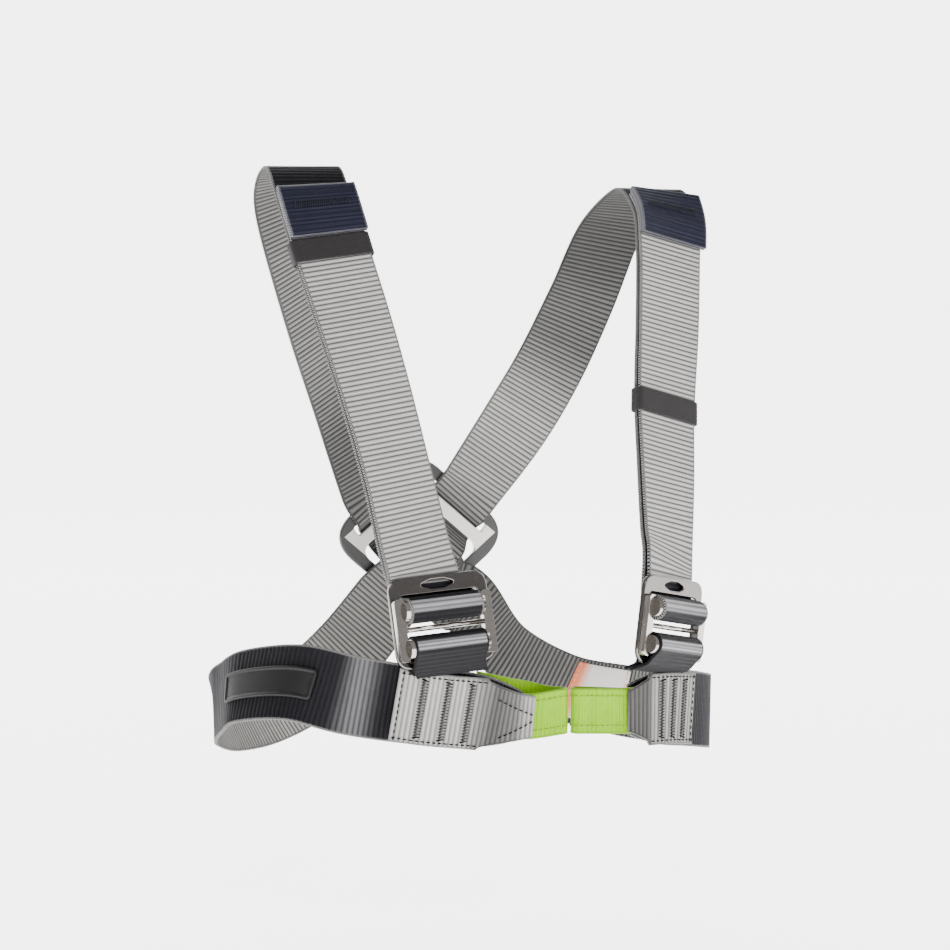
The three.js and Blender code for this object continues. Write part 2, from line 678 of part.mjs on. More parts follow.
// Two side bars joined by two round bars and a thin centre bar. It is joined and cut in its own frame,
// x to the side, y up the strap, z outward, and then moved into place.
function ladderFrame(name, frame) {
  const throat = BUCKLE_THROAT / 2;
  const edge = BUCKLE_WIDTH / 2 - 0.5;
  const flat = (corners, radius, depth, lift) => {
    const geometry = new THREE.ExtrudeGeometry(rounded(corners, radius), {
      depth,
      bevelEnabled: false,
      curveSegments: 4,
    });
    geometry.translate(0, 0, lift);
    return solidOf(geometry);
  };
  const block = (from, to, bottom, top, low, high) => {
    const geometry = new THREE.BoxGeometry(to - from, top - bottom, high - low);
    geometry.translate((from + to) / 2, (bottom + top) / 2, (low + high) / 2);
    return solidOf(geometry);
  };
  const bar = (up, radius, lift) => {
    const rod = new THREE.CylinderGeometry(radius, radius, BUCKLE_THROAT + 3, 16);
    rod.rotateZ(Math.PI / 2);
    rod.translate(0, up, lift);
    return solidOf(rod);
  };
  const around = flat(box(edge, -LADDER_REACH, LADDER_REACH + 0.5), 7, LADDER_THICK, LADDER_LIFT);
  const middle = block(-throat, throat, -40, 40, LADDER_LIFT - 1, LADDER_LIFT + LADDER_THICK + 1);
  let ladder = around
    .subtract(middle)
    .add(bar(BAR_UPPER, BAR_DIAMETER / 2, BAR_LIFT))
    .add(bar(BAR_LOWER, BAR_DIAMETER / 2, BAR_LIFT))
    .add(bar(0.3, CENTRE_BAR / 2, LADDER_LIFT + LADDER_THICK / 2));
  // The bars' ends are flush with the back of the cheeks, which clear the rear frame
  for (const [from, to] of [
    [-throat - 4, -throat],
    [throat, throat + 4],
  ])
    ladder = ladder.subtract(block(from, to, -40, 40, LADDER_LIFT - 20, LADDER_LIFT));
  const geometry = geometryOf(ladder);
  geometry.applyMatrix4(new THREE.Matrix4().makeBasis(frame.side, frame.tangent, frame.out));
  geometry.translate(frame.centre.x, frame.centre.y, frame.centre.z);
  add(name, geometry, "steel");
}

// A place on the band: up its face and lifted off it
function onFace(path, distance, hand, up, lift) {
  const frame = frameAt(path, distance);
  const tall = frame.side.clone().multiplyScalar(hand);
  const centre = frame.centre.clone().addScaledVector(tall, up).addScaledVector(frame.out, lift);
  const side = frame.tangent.clone().multiplyScalar(-hand);
  return { centre, side, out: frame.out, wide: WEB_WIDTH };
}

function nearest(path, place) {
  const gaps = path.map((frame) => frame.centre.distanceTo(place));
  return distances(path)[gaps.indexOf(Math.min(...gaps))];
}

// The sewn patch on the end of the band and its nose, which holds the loop
function patchFrames(path, size) {
  const total = distances(path).at(-1);
  const start = total - size.nose - size.length;
  const flat = between(path, start, total - size.nose);
  const nose = between(path, total - size.nose, total - 0.5).slice(1);
  const noseStep = distances(nose);
  return aligned([
    ...flat.map((frame) => lifted(frame, PATCH_LIFT, 0, PATCH_WIDTH)),
    ...nose.map((frame, i) => {
      const share = (noseStep[i] + 3) / (noseStep.at(-1) + 3);
      const wide = THREE.MathUtils.lerp(PATCH_WIDTH, NOSE_WIDTH, share ** 0.7);
      return lifted(frame, PATCH_LIFT, 0, wide);
    }),
  ]);
}

// The short strap that holds the buckle: both its legs are sewn under the patch
function buckleStrap(name, frame, band, hand, patch) {
  const wrap = roll(frame, BAR_LOWER, -62, 184, 12);
  const below = frame.centre.clone().addScaledVector(frame.tangent, REAR_BOTTOM - 28);
  const distance = nearest(band, below);
  const edge = PATCH_WIDTH / 2 + 0.9;
  const leg = (lift) => [onFace(band, distance, hand, edge, lift)];
  const same = (frames) => frames.map((f) => ({ ...f, side: frame.side, wide: WEB_WIDTH }));
  const front = [...leg(PATCH_LIFT - 0.3), inBuckle(frame, REAR_BOTTOM - 0.5, LADDER_LIFT + 1.4)];
  const back = [
    inBuckle(frame, REAR_BOTTOM + 6, LAYER_STEP + 0.6),
    inBuckle(frame, REAR_BOTTOM - 1, LAYER_STEP),
    ...leg(LAYER_STEP + 0.1).reverse(),
  ];
  const strap = [...aligned(same(front)), ...wrap, ...aligned(same(back))];
  const room = (frames) => {
    const wider = frames.map((f) => ({ ...f, wide: f.wide + 2.5 * LAYER_GAP }));
    return solidOf(strip(wider, WEB_THICK + 2.5 * LAYER_GAP));
  };
  const clear = solidOf(strip(strap, WEB_THICK - 0.2)).subtract(room(patch)).subtract(room(band));
  const bodies = clear.decompose().sort((a, b) => b.volume() - a.volume());
  add(name, geometryOf(bodies[0]), "darkWeb");
}

// A loop of narrow webbing whose two arms are held between the band and the nose
function tieLoop(name, path, hand, open) {
  const total = distances(path).at(-1);
  const upright = new THREE.Vector3(0, 0, -hand);
  const root = frameAt(path, total - LOOP_HOLD);
  const leave = frameAt(path, total);
  const arm = (frame, lift, rise = 0) => {
    const side = frame.side.clone().negate();
    return { ...lifted(frame, lift, hand * rise), side, wide: LOOP_WIDTH };
  };
  const right = hand < 0;
  const outer = PATCH_LIFT - WEB_THICK / 2 - 2.6 * LAYER_GAP - LOOP_THICK / 2;
  const behind = -(WEB_THICK + LOOP_THICK) / 2 - 2 * LAYER_GAP;
  const inner = right ? behind : outer - LOOP_THICK - LAYER_GAP;
  const radius = open / 2;
  const tip = {
    across: LOOP_MEET + hand * (LAYER_GAP / 2 + LOOP_THICK / 2 + 0.2),
    along: leave.centre.y - (inner + outer) / 2,
    up: -TIE_DROP + 2,
  };
  const bend = Array.from({ length: 9 }, (_, i) => {
    const angle = rad(-90 + 22.5 * i);
    const out = new THREE.Vector3(-hand * Math.cos(angle), -Math.sin(angle), 0);
    const centre = new THREE.Vector3(
      tip.across + hand * radius * (1 - Math.cos(angle)),
      tip.along - radius * Math.sin(angle),
      tip.up,
    );
    return { centre, out, side: upright, wide: LOOP_WIDTH };
  });
  const middle = (a, b, share, bulge) => ({
    centre: a.centre
      .clone()
      .lerp(b.centre, share)
      .add(new THREE.Vector3(0, bulge, 0)),
    out: b.out,
    side: upright,
    wide: LOOP_WIDTH,
  });
  const innerEnd = arm(leave, inner, right ? LOOP_RISE : 0);
  const outerEnd = arm(leave, outer);
  const raised = (share) => {
    return arm(frameAt(path, total - LOOP_BACK * share), inner, LOOP_RISE * (1 + 0.45 * share));
  };
  const held = right ? [1, 0.67, 0.33].map(raised) : [arm(root, inner)];
  const frames = [
    ...held,
    innerEnd,
    middle(innerEnd, bend[0], 0.5, radius * 0.12),
    ...bend,
    middle(bend[8], outerEnd, 0.5, -radius * 0.12),
    outerEnd,
    arm(root, outer),
  ];
  add(name, strip(aligned(frames), LOOP_THICK), "lime");
}

function onBand(name, path, distance, length, height, thick, lift, finish) {
  const frames = Array.from({ length: 13 }, (_, i) => {
    return lifted(frameAt(path, distance + length * (i / 12 - 0.5)), lift, 0, height);
  });
  add(name, strip(frames, thick), finish);
}

backPlate();
for (const [side, hand] of [
  ["right", -1],
  ["left", 1],
]) {
  const right = hand < 0;
  const shoulder = shoulderPath(hand);
  const band = bandPath(hand);
  const strapLength = distances(shoulder).at(-1);
  const bandPathLength = distances(band).at(-1);
  const tailLength = strapLength * (right ? TAIL_SHARE_RIGHT : TAIL_SHARE_LEFT);
  const keeperPlace = right ? tailLength - TAB_LENGTH - 7.5 : strapLength * KEEPER_SHARE_LEFT;
  const base = shoulder[0];
  const size = right ? PATCH_RIGHT : PATCH_LEFT;
  shoulderStrap("shoulder_strap_" + side, shoulder);
  strapTail("strap_tail_" + side, shoulder, tailLength);
  stopperTab("stopper_tab_" + side, shoulder, tailLength);
  keeper("elastic_keeper_" + side, shoulder, keeperPlace);
  rearFrame("buckle_rear_frame_" + side, base);
  ladderFrame("buckle_ladder_" + side, base);
  const sewn = patchFrames(band, size);
  buckleStrap("buckle_strap_" + side, base, band, hand, sewn);
  add("chest_band_" + side, strip(between(band, 0, bandPathLength - 5)), "darkWeb");
  add("front_patch_" + side, strip(sewn), "lightWeb");
  tieLoop("tie_in_loop_" + side, band, hand, right ? LOOP_OPEN_RIGHT : LOOP_OPEN_LEFT);
  const outside = WEB_THICK / 2 + LAYER_GAP;
  if (right)
    onBand(
      "bare_label",
      band,
      bandPathLength * LABEL_SHARE,
      LABEL_LENGTH,
      LABEL_HEIGHT,
      LABEL_THICK,
      outside + LABEL_THICK / 2 + 0.2,
      "rubber",
    );
  else
    onBand(
      "care_label",
      band,
      bandPathLength * CARE_SHARE,
      CARE_LENGTH,
      CARE_HEIGHT,
      CARE_THICK,
      -outside - CARE_THICK / 2,
      "care",
    );
}

export default harness;
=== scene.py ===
"""Climbing chest harness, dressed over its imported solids.

The webbing follows the same tables of shares as the solids. Lengths in the tables and helpers are in
millimetres, and every mesh is written out in metres.
"""
import bisect
import math
from collections import namedtuple

import bmesh
import bpy
from bpy.props import FloatProperty, FloatVectorProperty, PointerProperty
from mathutils import Matrix, Vector


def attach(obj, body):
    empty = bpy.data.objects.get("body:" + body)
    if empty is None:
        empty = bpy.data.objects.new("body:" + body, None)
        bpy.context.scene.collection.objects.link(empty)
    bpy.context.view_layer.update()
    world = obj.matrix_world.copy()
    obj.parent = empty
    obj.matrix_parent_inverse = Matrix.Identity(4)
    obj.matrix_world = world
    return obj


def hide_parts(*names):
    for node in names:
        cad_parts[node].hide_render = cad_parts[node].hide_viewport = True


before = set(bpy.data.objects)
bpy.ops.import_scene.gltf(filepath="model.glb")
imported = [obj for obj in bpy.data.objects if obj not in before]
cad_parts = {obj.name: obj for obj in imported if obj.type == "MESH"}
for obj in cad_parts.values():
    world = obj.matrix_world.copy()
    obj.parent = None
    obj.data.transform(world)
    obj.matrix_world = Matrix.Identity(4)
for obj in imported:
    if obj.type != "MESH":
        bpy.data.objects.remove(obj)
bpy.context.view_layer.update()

bl_info = {
    "name": "Climbing chest harness",
    "version": (1, 0, 0),
    "blender": (4, 5, 0),
    "location": "View3D > Sidebar > Harness",
    "description": "Dresses the packed solids of a climbing chest harness with webbing, sewing and metal",
    "category": "Object",
}

# Webbing
WEB_WIDTH = 45
WEB_THICK = 2
LAYER_GAP = 0.3
LAYER_STEP = WEB_THICK + LAYER_GAP
TAIL_LIFT = 3.5
STEP = 0.6  # distance between two sections of webbing

# Where the harness meets the body: across, along and up from the origin
SHOULDER_RIGHT = (-121, 4, 2)
SHOULDER_LEFT = (105, 0, -8)
TIE_DROP = 312
FLANK_RISE_RIGHT = 8
FLANK_RISE_LEFT = -14
BUCKLE_RISE_RIGHT = 53
BUCKLE_RISE_LEFT = 47
CHEST_FRONT = 96
CHEST_BACK = 102
FLANK_RIGHT = (-176, -4, FLANK_RISE_RIGHT - TIE_DROP)
FLANK_LEFT = (136, -2, FLANK_RISE_LEFT - TIE_DROP)
BUCKLE_RIGHT = (-81.5, -CHEST_FRONT, BUCKLE_RISE_RIGHT - TIE_DROP)
BUCKLE_LEFT = (61, -CHEST_FRONT, BUCKLE_RISE_LEFT - TIE_DROP)
BUCKLE_TURN_RIGHT = math.radians(-11)
TURN_FADE = 55

# Back plate
PLATE_WIDTH = 105
PLATE_DROP = 221.5
PLATE_THICK = 3
PLATE_SLOPE = math.radians(39)
PLATE_CORNER = 20
RIM_WIDTH = 7.5
SLOT_WIDTH = 6
SLOT_LENGTH = WEB_WIDTH + 2
SLOT_CORNER = 1.5
OPENING_CORNER = 7
PLATE_BEVEL = 0.9
WEB_LEG = 8.5
SLOT_OFF_CENTRE = 23.6

# Buckle
BUCKLE_WIDTH = 61
BUCKLE_THROAT = WEB_WIDTH + 3
REAR_TOP = 29.5
REAR_BOTTOM = -21.5
REAR_PLATE = 10
REAR_FOOT = 4
REAR_THICK = 2.6
REAR_LIFT = 5.1
LENS_LENGTH = 24
LENS_HEIGHT = 5
LENS_CORNER = 2
REAR_CORNER = 9
REAR_BEVEL = 0.8
THROAT_CORNER = 3
THROAT_EASE = 0.6
BAR_DIAMETER = 10.5
BAR_UPPER = 10.8
BAR_LOWER = -10.4
LADDER_REACH = 17.5
LADDER_THICK = 4
LADDER_LIFT = REAR_LIFT + REAR_THICK + LAYER_GAP
CENTRE_BAR = 3
CENTRE_BAR_UP = 0.3
CENTRE_BAR_HOLD = 1.2
BAR_HOLD = 0.6
CHEEK_INSET = 0.5
CHEEK_CORNER = 2.6
CHEEK_BEVEL = 1.3
ROLL_RADIUS = BAR_DIAMETER / 2 + LAYER_GAP + WEB_THICK / 2
BAR_LIFT = LADDER_LIFT + LADDER_THICK / 2 + 1

# Sewn and small pieces
PATCH_RIGHT = {"length": 51, "nose": 33, "end": 24}
PATCH_LEFT = {"length": 36, "nose": 15, "end": 36}
PATCH_WIDTH = 42
PATCH_LIFT = 3 * LAYER_STEP + 0.6
PATCH_SEAM = 2.5
PATCH_SEAM_START = 2.4
NOSE_WIDTH = 24
LOOP_WIDTH = 26.5
LOOP_THICK = 1.8
LOOP_MEET = 1.4
LOOP_HOLD = 15
LOOP_BACK = 36
LOOP_RISE = 6.5
LOOP_SOFTEN = 2.0
LOOP_SEAM = 4.7
LOOP_SEAM_START = 4
LOOP_OPEN_RIGHT = 11
LOOP_OPEN_LEFT = 9.5
TAB_LENGTH = 31
TAB_THICK = 4.4
TAB_WIDTH = WEB_WIDTH + 1.5
TAB_TACK_EDGE = 7
TAB_TACK_SHARE = 0.58
TAB_TACK_WIDE = 3.6
TAB_TACK_PITCH = 1.3
KEEPER_HEIGHT = 14
KEEPER_THICK = 1.2
KEEPER_CORNER = 2.4
KEEPER_EASE = 0.6
TAIL_SHARE_RIGHT = 0.465
TAIL_SHARE_LEFT = 0.49
KEEPER_SHARE_LEFT = 0.244
LABEL_SHARE = 0.679
CARE_SHARE = 0.453
LABEL_LENGTH = 64
LABEL_HEIGHT = 18
LABEL_CORNER = 2.4
CARE_LENGTH = 40
CARE_HEIGHT = 38
CARE_CORNER = 0.8
CARE_SEAM = 2

# One row for a place on a strap: across, along, up, rise, face, tilt and wide, as in the solids
FRONT_RIGHT = [
    (0.0, 0.0, 0.0, 0, 0, 7, 1),
    (0.28, 0.07, 0.16, 0, 5, 10, 1),
    (0.49, 0.15, 0.33, 0, 8, 14, 1),
    (0.68, 0.25, 0.49, 0, 4, 17, 1),
    (0.87, 0.38, 0.65, 0, -3, 22, 1),
    (1.02, 0.55, 0.8, 0, -8, 32, 1),
    (1.07, 0.76, 0.93, 0, -11, 54, 1),
    (1.0, 1.0, 1.0, 0, -4, 93, 1),
]
BACK_RIGHT = [
    (0.09, 0.41, 0.07, 0, 7, 146, 1),
    (0.26, 0.62, 0.27, 0, 17, 171, 1),
    (0.48, 0.77, 0.5, 0, 19, 178, 1),
    (0.715, 0.88, 0.73, 0, 17, 181, 1),
]
FRONT_LEFT = [
    (0.0, 0.0, 0.0, 0, 27, 0, 1),
    (0.11, 0.02, 0.12, 0, 27, 4, 1),
    (0.2, 0.1, 0.2, 0, 25, 9, 1),
    (0.31, 0.2, 0.34, 0, 20, 12, 1),
    (0.46, 0.34, 0.5, 0, 16, 14, 1),
    (0.66, 0.47, 0.68, 0, 13, 19, 1),
    (0.84, 0.61, 0.84, 0, 13, 28, 1),
    (0.96, 0.74, 0.94, 0, 12, 48, 1),
    (1.0, 1.0, 1.0, 0, 5, 88, 1),
]
BACK_LEFT = [
    (0.05, 0.38, 0.12, 0, -5, 136, 1),
    (0.17, 0.63, 0.36, 0, -9, 163, 1),
    (0.39, 0.77, 0.59, 0, -13, 173, 1),
    (0.66, 0.88, 0.79, 0, -11, 179, 1),
]
BAND_RIGHT_BACK = [
    (0.232, 0.078, 0.545, 0, -183, -2, 1),
    (0.36, 0.09, 0.84, 0, -183, -20, 1),
    (0.51, 0.13, 1.07, 0, -171, -31, 1),
    (0.7, 0.28, 1.19, 0, -148, -33, 1),
    (0.88, 0.54, 1.18, 0, -118, -23, 1),
    (0.98, 0.82, 1.08, 0, -93, 2, 1),
    (1.0, 1.0, 1.0, 0, -78, 17, 1),
]
BAND_RIGHT_FRONT = [
    (0.02, 0.24, -0.1, 0.19, -63, 26, 1),
    (0.14, 0.62, -0.2, 0.28, -42, 23, 1),
    (0.31, 0.83, 0.0, 0.17, -26, 6, 1),
    (0.55, 0.95, 0.2, 0.06, -14, -6, 1),
    (0.76, 0.98, 0.5, 0.02, -8, -7, 0.97),
    (0.9, 0.98, 0.8, 0.0, -5, -4, 0.78),
    (1.0, 0.97, 1.0, 0.0, -3, 0, 0.53),
]
BAND_LEFT_BACK = [
    (0.34, 0.085, 0.49, 0, 184, -9, 1),
    (0.5, 0.1, 0.75, 0, 185, -24, 1),
    (0.71, 0.24, 0.94, 0, 167, -24, 1),
    (0.87, 0.52, 1.0, 0, 139, -16, 1),
    (0.96, 0.8, 1.01, 0, 110, -10, 1),
    (1.0, 1.0, 1.0, 0, 95, -6, 1),
]
BAND_LEFT_FRONT = [
    (0.02, 0.24, 0.05, 0, 80, -4, 1),
    (0.18, 0.54, 0.35, 0, 59, -1, 1),
    (0.46, 0.8, 0.75, 0, 36, 0, 1),
    (0.68, 0.91, 0.95, 0, 24, 0, 0.98),
    (0.86, 0.96, 1.0, 0, 16, 0, 0.8),
    (1.0, 0.98, 1.0, 0, 8, 0, 0.55),
]


def linear(code):
    """An sRGB hex value as linear red, green and blue."""
    values = [int(code[i:i + 2], 16) / 255 for i in (1, 3, 5)]
    return tuple(v / 12.92 if v <= 0.04045 else ((v + 0.055) / 1.055) ** 2.4 for v in values)


def size_setting(name, description, default):
    return FloatProperty(name=name, description=description, default=default, unit="LENGTH")


def colour_setting(name, description, code):
    return FloatVectorProperty(name=name, description=description, default=linear(code), subtype="COLOR")


class HarnessSettings(bpy.types.PropertyGroup):
    """Sizes in metres and colours that the panel offers"""
    rib_pitch: size_setting("Rib pitch", "Distance from one rib of the webbing to the next", 0.0029)
    rib_height: size_setting("Rib height", "Depth of the groove between two ribs", 0.0006)
    stitch: size_setting("Stitch", "Length of one stitch with its gap", 0.0034)
    thread: size_setting("Thread", "Radius of the sewing thread", 0.0004)
    light_web: colour_setting("Light face", "Colour of the webbing's light face", "#b8b6b3")
    dark_web: colour_setting("Dark face", "Colour of the webbing's dark face", "#1b1a1f")
    lime_web: colour_setting("Loops", "Colour of the two tie-in loops", "#8cc400")
    navy_web: colour_setting("Stopper tabs", "Colour of the folded ends of the tails", "#232434")
    metal: colour_setting("Buckles", "Colour of the buckles' metal", "#b4aea9")


# Paths of the straps
Frame = namedtuple("Frame", "centre out side wide")


def outward(face, tilt):
    """The direction in which a strap faces: round from the front, and up, in degrees."""
    face = math.radians(face)
    tilt = math.radians(tilt)
    return Vector((math.sin(face) * math.cos(tilt), -math.cos(face) * math.cos(tilt), math.sin(tilt)))


def rows(table, start, end):
    """The places that a table's shares give between a start and an end."""
    places = []
    for across, along, up, rise, face, tilt, wide in table:
        shares = (across, along, up)
        place = [start[i] + (end[i] - start[i]) * shares[i] for i in range(3)]
        place[2] += rise * WEB_WIDTH
        places.append((*place, face, tilt, wide * WEB_WIDTH))
    return places


def follow(places, steps=14):
    """Frames along a smooth curve through the rows."""
    last = len(places) - 1

    def blend(i, t):
        row = []
        for k in range(6):
            a, b, c, d = (places[min(max(i + j, 0), last)][k] for j in (-1, 0, 1, 2))
            value = 2 * b + (c - a) * t + (2 * a - 5 * b + 4 * c - d) * t * t
            row.append(0.5 * (value + (3 * b - a - 3 * c + d) * t ** 3))
        return row

    samples = [blend(i, k / steps) for i in range(last) for k in range(steps)]
    samples.append(blend(last - 1, 1))
    centres = [Vector(sample[:3]) for sample in samples]
    frames = []
    for i, sample in enumerate(samples):
        before = centres[max(i - 1, 0)]
        after = centres[min(i + 1, len(centres) - 1)]
        tangent = (after - before).normalized()
        out = outward(sample[3], sample[4])
        out = (out - tangent * out.dot(tangent)).normalized()
        frames.append(Frame(centres[i], out, tangent.cross(out), sample[5]))
    return frames


def lifted(frames, lift, wide=None):
    """The same path further out, or in where the lift is below 0."""
    return [f._replace(centre=f.centre + f.out * lift, wide=wide or f.wide) for f in frames]


def distances(frames):
    """How far along its path each frame is."""
    total = 0.0
    sums = [0.0]
    for before, after in zip(frames, frames[1:]):
        total += (after.centre - before.centre).length
        sums.append(total)
    return sums


def frame_at(frames, distance, sums=None):
    sums = sums or distances(frames)
    i = min(max(bisect.bisect_left(sums, distance), 1), len(frames) - 1)
    a = frames[i - 1]
    b = frames[i]
    t = (distance - sums[i - 1]) / max(sums[i] - sums[i - 1], 1e-9)
    mixed = [a[k].lerp(b[k], t) for k in range(3)]
    return Frame(mixed[0], mixed[1].normalized(), mixed[2].normalized(), a.wide + (b.wide - a.wide) * t)


def between(frames, start, end):
    sums = distances(frames)
    inside = [f for f, s in zip(frames, sums) if start + 0.3 < s < end - 0.3]
    return [frame_at(frames, start, sums), *inside, frame_at(frames, end, sums)]


def length(frames):
    return distances(frames)[-1]


def aligned(frames):
    """Frames whose outward direction follows from their side and their path."""
    result = []
    for i, f in enumerate(frames):
        before = frames[max(i - 1, 0)].centre
        after = frames[min(i + 1, len(frames) - 1)].centre
        result.append(f._replace(out=f.side.cross(after - before).normalized()))
    return result


def even(frames, step, soften=0.0, closed=False):
    """The same path at even steps, with its corners rounded over a length."""
    sums = distances(frames)
    count = max(round(sums[-1] / step), 2)
    result = [frame_at(frames, sums[-1] * i / count, sums) for i in range(count + (not closed))]
    reach = round(soften / step)
    if not reach:
        return result
    for _ in range(2):
        smooth = []
        size = len(result)
        for i, f in enumerate(result):
            near = min(reach, i, size - 1 - i) if not closed else reach
            group = [result[(i + k) % size] for k in range(-near, near + 1)]
            centre = sum((g.centre for g in group), Vector()) / len(group)
            side = sum((g.side for g in group), Vector()).normalized()
            smooth.append(f._replace(centre=centre, side=side))
        result = smooth
    if closed:
        return result
    return aligned(result)


# The back plate's own sizes
SLOPE = math.tan(PLATE_SLOPE)
UPRIGHT = 1 / math.cos(PLATE_SLOPE)
OUTER_TOP = (PLATE_WIDTH / 2 - PLATE_CORNER) * SLOPE + PLATE_CORNER * UPRIGHT
SLOT_TOP = OUTER_TOP - RIM_WIDTH * UPRIGHT
LEG_TOP = SLOT_TOP - SLOT_WIDTH * UPRIGHT
LEG_BOTTOM = LEG_TOP - WEB_LEG * UPRIGHT
LOWER_EDGE = (SLOT_TOP + LEG_TOP - (WEB_LEG / 2) * UPRIGHT) * math.cos(PLATE_SLOPE)
LEG_ACROSS = SLOT_OFF_CENTRE - (WEB_LEG / 2) * math.sin(PLATE_SLOPE)
LEG_UP = LEG_TOP - SLOT_OFF_CENTRE * SLOPE - (WEB_LEG / 2) * math.cos(PLATE_SLOPE)
PLATE_CLEAR = PLATE_THICK / 2 + LAYER_GAP + WEB_THICK / 2
LEG_EDGE = WEB_LEG / 2
RIM_EDGE = LEG_EDGE + SLOT_WIDTH
PLATE_WEB = WEB_WIDTH - 3


def plate_row(hand, reach, back, face, wide=PLATE_WEB):
    """A row on a strap at a reach from the middle of the plate's leg, square to that leg."""
    return (
        hand * (LEG_ACROSS + reach * math.sin(PLATE_SLOPE)),
        CHEST_BACK + back,
        -PLATE_DROP + LEG_UP + reach * math.cos(PLATE_SLOPE),
        face,
        180,
        wide,
    )


def plate_path(hand, turns):
    direction = Vector((math.sin(PLATE_SLOPE) * hand, 0, math.cos(PLATE_SLOPE)))
    side = direction.cross(Vector((0, -1, 0)))
    out = Vector((0, 1, 0))
    return [
        Frame(Vector(plate_row(hand, reach, back, 0)[:3]), out, side, PLATE_WEB)
        for reach, back in turns
    ]


def shoulder_path(hand):
    """A shoulder strap's middle line from the buckle to the plate's leg."""
    right = hand < 0
    buckle = BUCKLE_RIGHT if right else BUCKLE_LEFT
    shoulder = SHOULDER_RIGHT if right else SHOULDER_LEFT
    rim = plate_row(hand, RIM_EDGE + RIM_WIDTH + 4, -PLATE_CLEAR - 0.8, -2 * hand)
    above = follow([
        *rows(FRONT_RIGHT if right else FRONT_LEFT, buckle, shoulder),
        *rows(BACK_RIGHT if right else BACK_LEFT, shoulder, rim),
        rim,
    ])
    path = above + plate_path(hand, [
        (RIM_EDGE + RIM_WIDTH - 1, -PLATE_CLEAR - 0.3),
        (RIM_EDGE - 1, -PLATE_CLEAR),
        (LEG_EDGE + 1, PLATE_CLEAR),
        (LAYER_GAP / 2, PLATE_CLEAR),
    ])
    return turned(path, BUCKLE_TURN_RIGHT) if right else path


def turned(path, turn):
    """The start of a path turned round its outward direction, less and less along it."""
    result = []
    for f, reach in zip(path, distances(path)):
        angle = turn * max(1 - reach / TURN_FADE, 0)
        result.append(f._replace(side=Matrix.Rotation(angle, 3, f.out) @ f.side))
    return result


BAND_TURNS_RIGHT = [
    (-LAYER_GAP / 2, PLATE_CLEAR),
    (-LEG_EDGE - 0.7, PLATE_CLEAR),
    (-LEG_EDGE - 10, -PLATE_CLEAR - LAYER_STEP - 0.8),
    (-LEG_EDGE - 42, -PLATE_CLEAR - LAYER_STEP - 0.8),
]
BAND_TURNS_LEFT = [
    (-LAYER_GAP / 2, PLATE_CLEAR),
    (-LEG_EDGE - 0.3, PLATE_CLEAR + 0.4),
    (-LEG_EDGE - 4, PLATE_CLEAR + LAYER_STEP + 0.4),
    (-LEG_EDGE - 12, PLATE_CLEAR + 1),
    (-LEG_EDGE - 38, -PLATE_CLEAR - 0.5),
]


def band_path(hand):
    """A chest band's middle line from the plate's leg to the front of the chest."""
    right = hand < 0
    flank = FLANK_RIGHT if right else FLANK_LEFT
    turn = -180 if right else 180
    leg = -hand

    def level(row):
        return (*row[:3], turn, 0, row[5])

    start = plate_row(leg, -LAYER_GAP / 2, PLATE_CLEAR, 0)
    end = (hand * (PATCH_RIGHT if right else PATCH_LEFT)["end"], -CHEST_FRONT - 1, -TIE_DROP)
    rim = level(plate_row(leg, -LOWER_EDGE - 9, -PLATE_CLEAR - 0.5, 0, WEB_WIDTH))
    rest = follow([
        *([] if right else [rim]),
        *rows(BAND_RIGHT_BACK if right else BAND_LEFT_BACK, start, flank),
        *rows(BAND_RIGHT_FRONT if right else BAND_LEFT_FRONT, flank, end),
    ])
    through = plate_path(leg, BAND_TURNS_RIGHT if right else BAND_TURNS_LEFT)
    if rest[0].side.dot(through[0].side) < 0:
        through = [f._replace(side=-f.side) for f in through]
    return through + rest


# Places in the buckle's own frame
def up_of(base):
    """The buckle's upward direction."""
    return base.out.cross(base.side).normalized()


def in_buckle(base, up, lift, out=None):
    centre = base.centre + up_of(base) * up + base.out * lift
    return Frame(centre, out or base.out, base.side, WEB_WIDTH)


def roll(base, bar_up, start, end, count=24):
    """Webbing round a bar of the buckle, from one angle to another."""
    frames = []
    for i in range(count + 1):
        angle = math.radians(start + (end - start) * i / count)
        out = base.out * math.cos(angle) + up_of(base) * math.sin(angle)
        up = bar_up + ROLL_RADIUS * math.sin(angle)
        lift = BAR_LIFT + ROLL_RADIUS * math.cos(angle)
        frames.append(in_buckle(base, up, lift, out))
    return frames


ROLL_BACK = -150
ROLL_FRONT = 88


def strap_frames(path):
    """A shoulder strap, from under the upper bar to the back plate."""
    base = path[0]
    leaving = math.radians(ROLL_BACK)
    start = [
        in_buckle(
            base,
            BAR_UPPER + ROLL_RADIUS * math.sin(leaving) + 0.6,
            BAR_LIFT + ROLL_RADIUS * math.cos(leaving) - 0.35,
        ),
        in_buckle(base, BAR_UPPER + 1.4, 2.6),
        in_buckle(base, BAR_UPPER + 6.5, 0.6),
        in_buckle(base, BAR_UPPER + 12, 0.1),
    ]
    return start + between(path, REAR_TOP + 1, length(path))


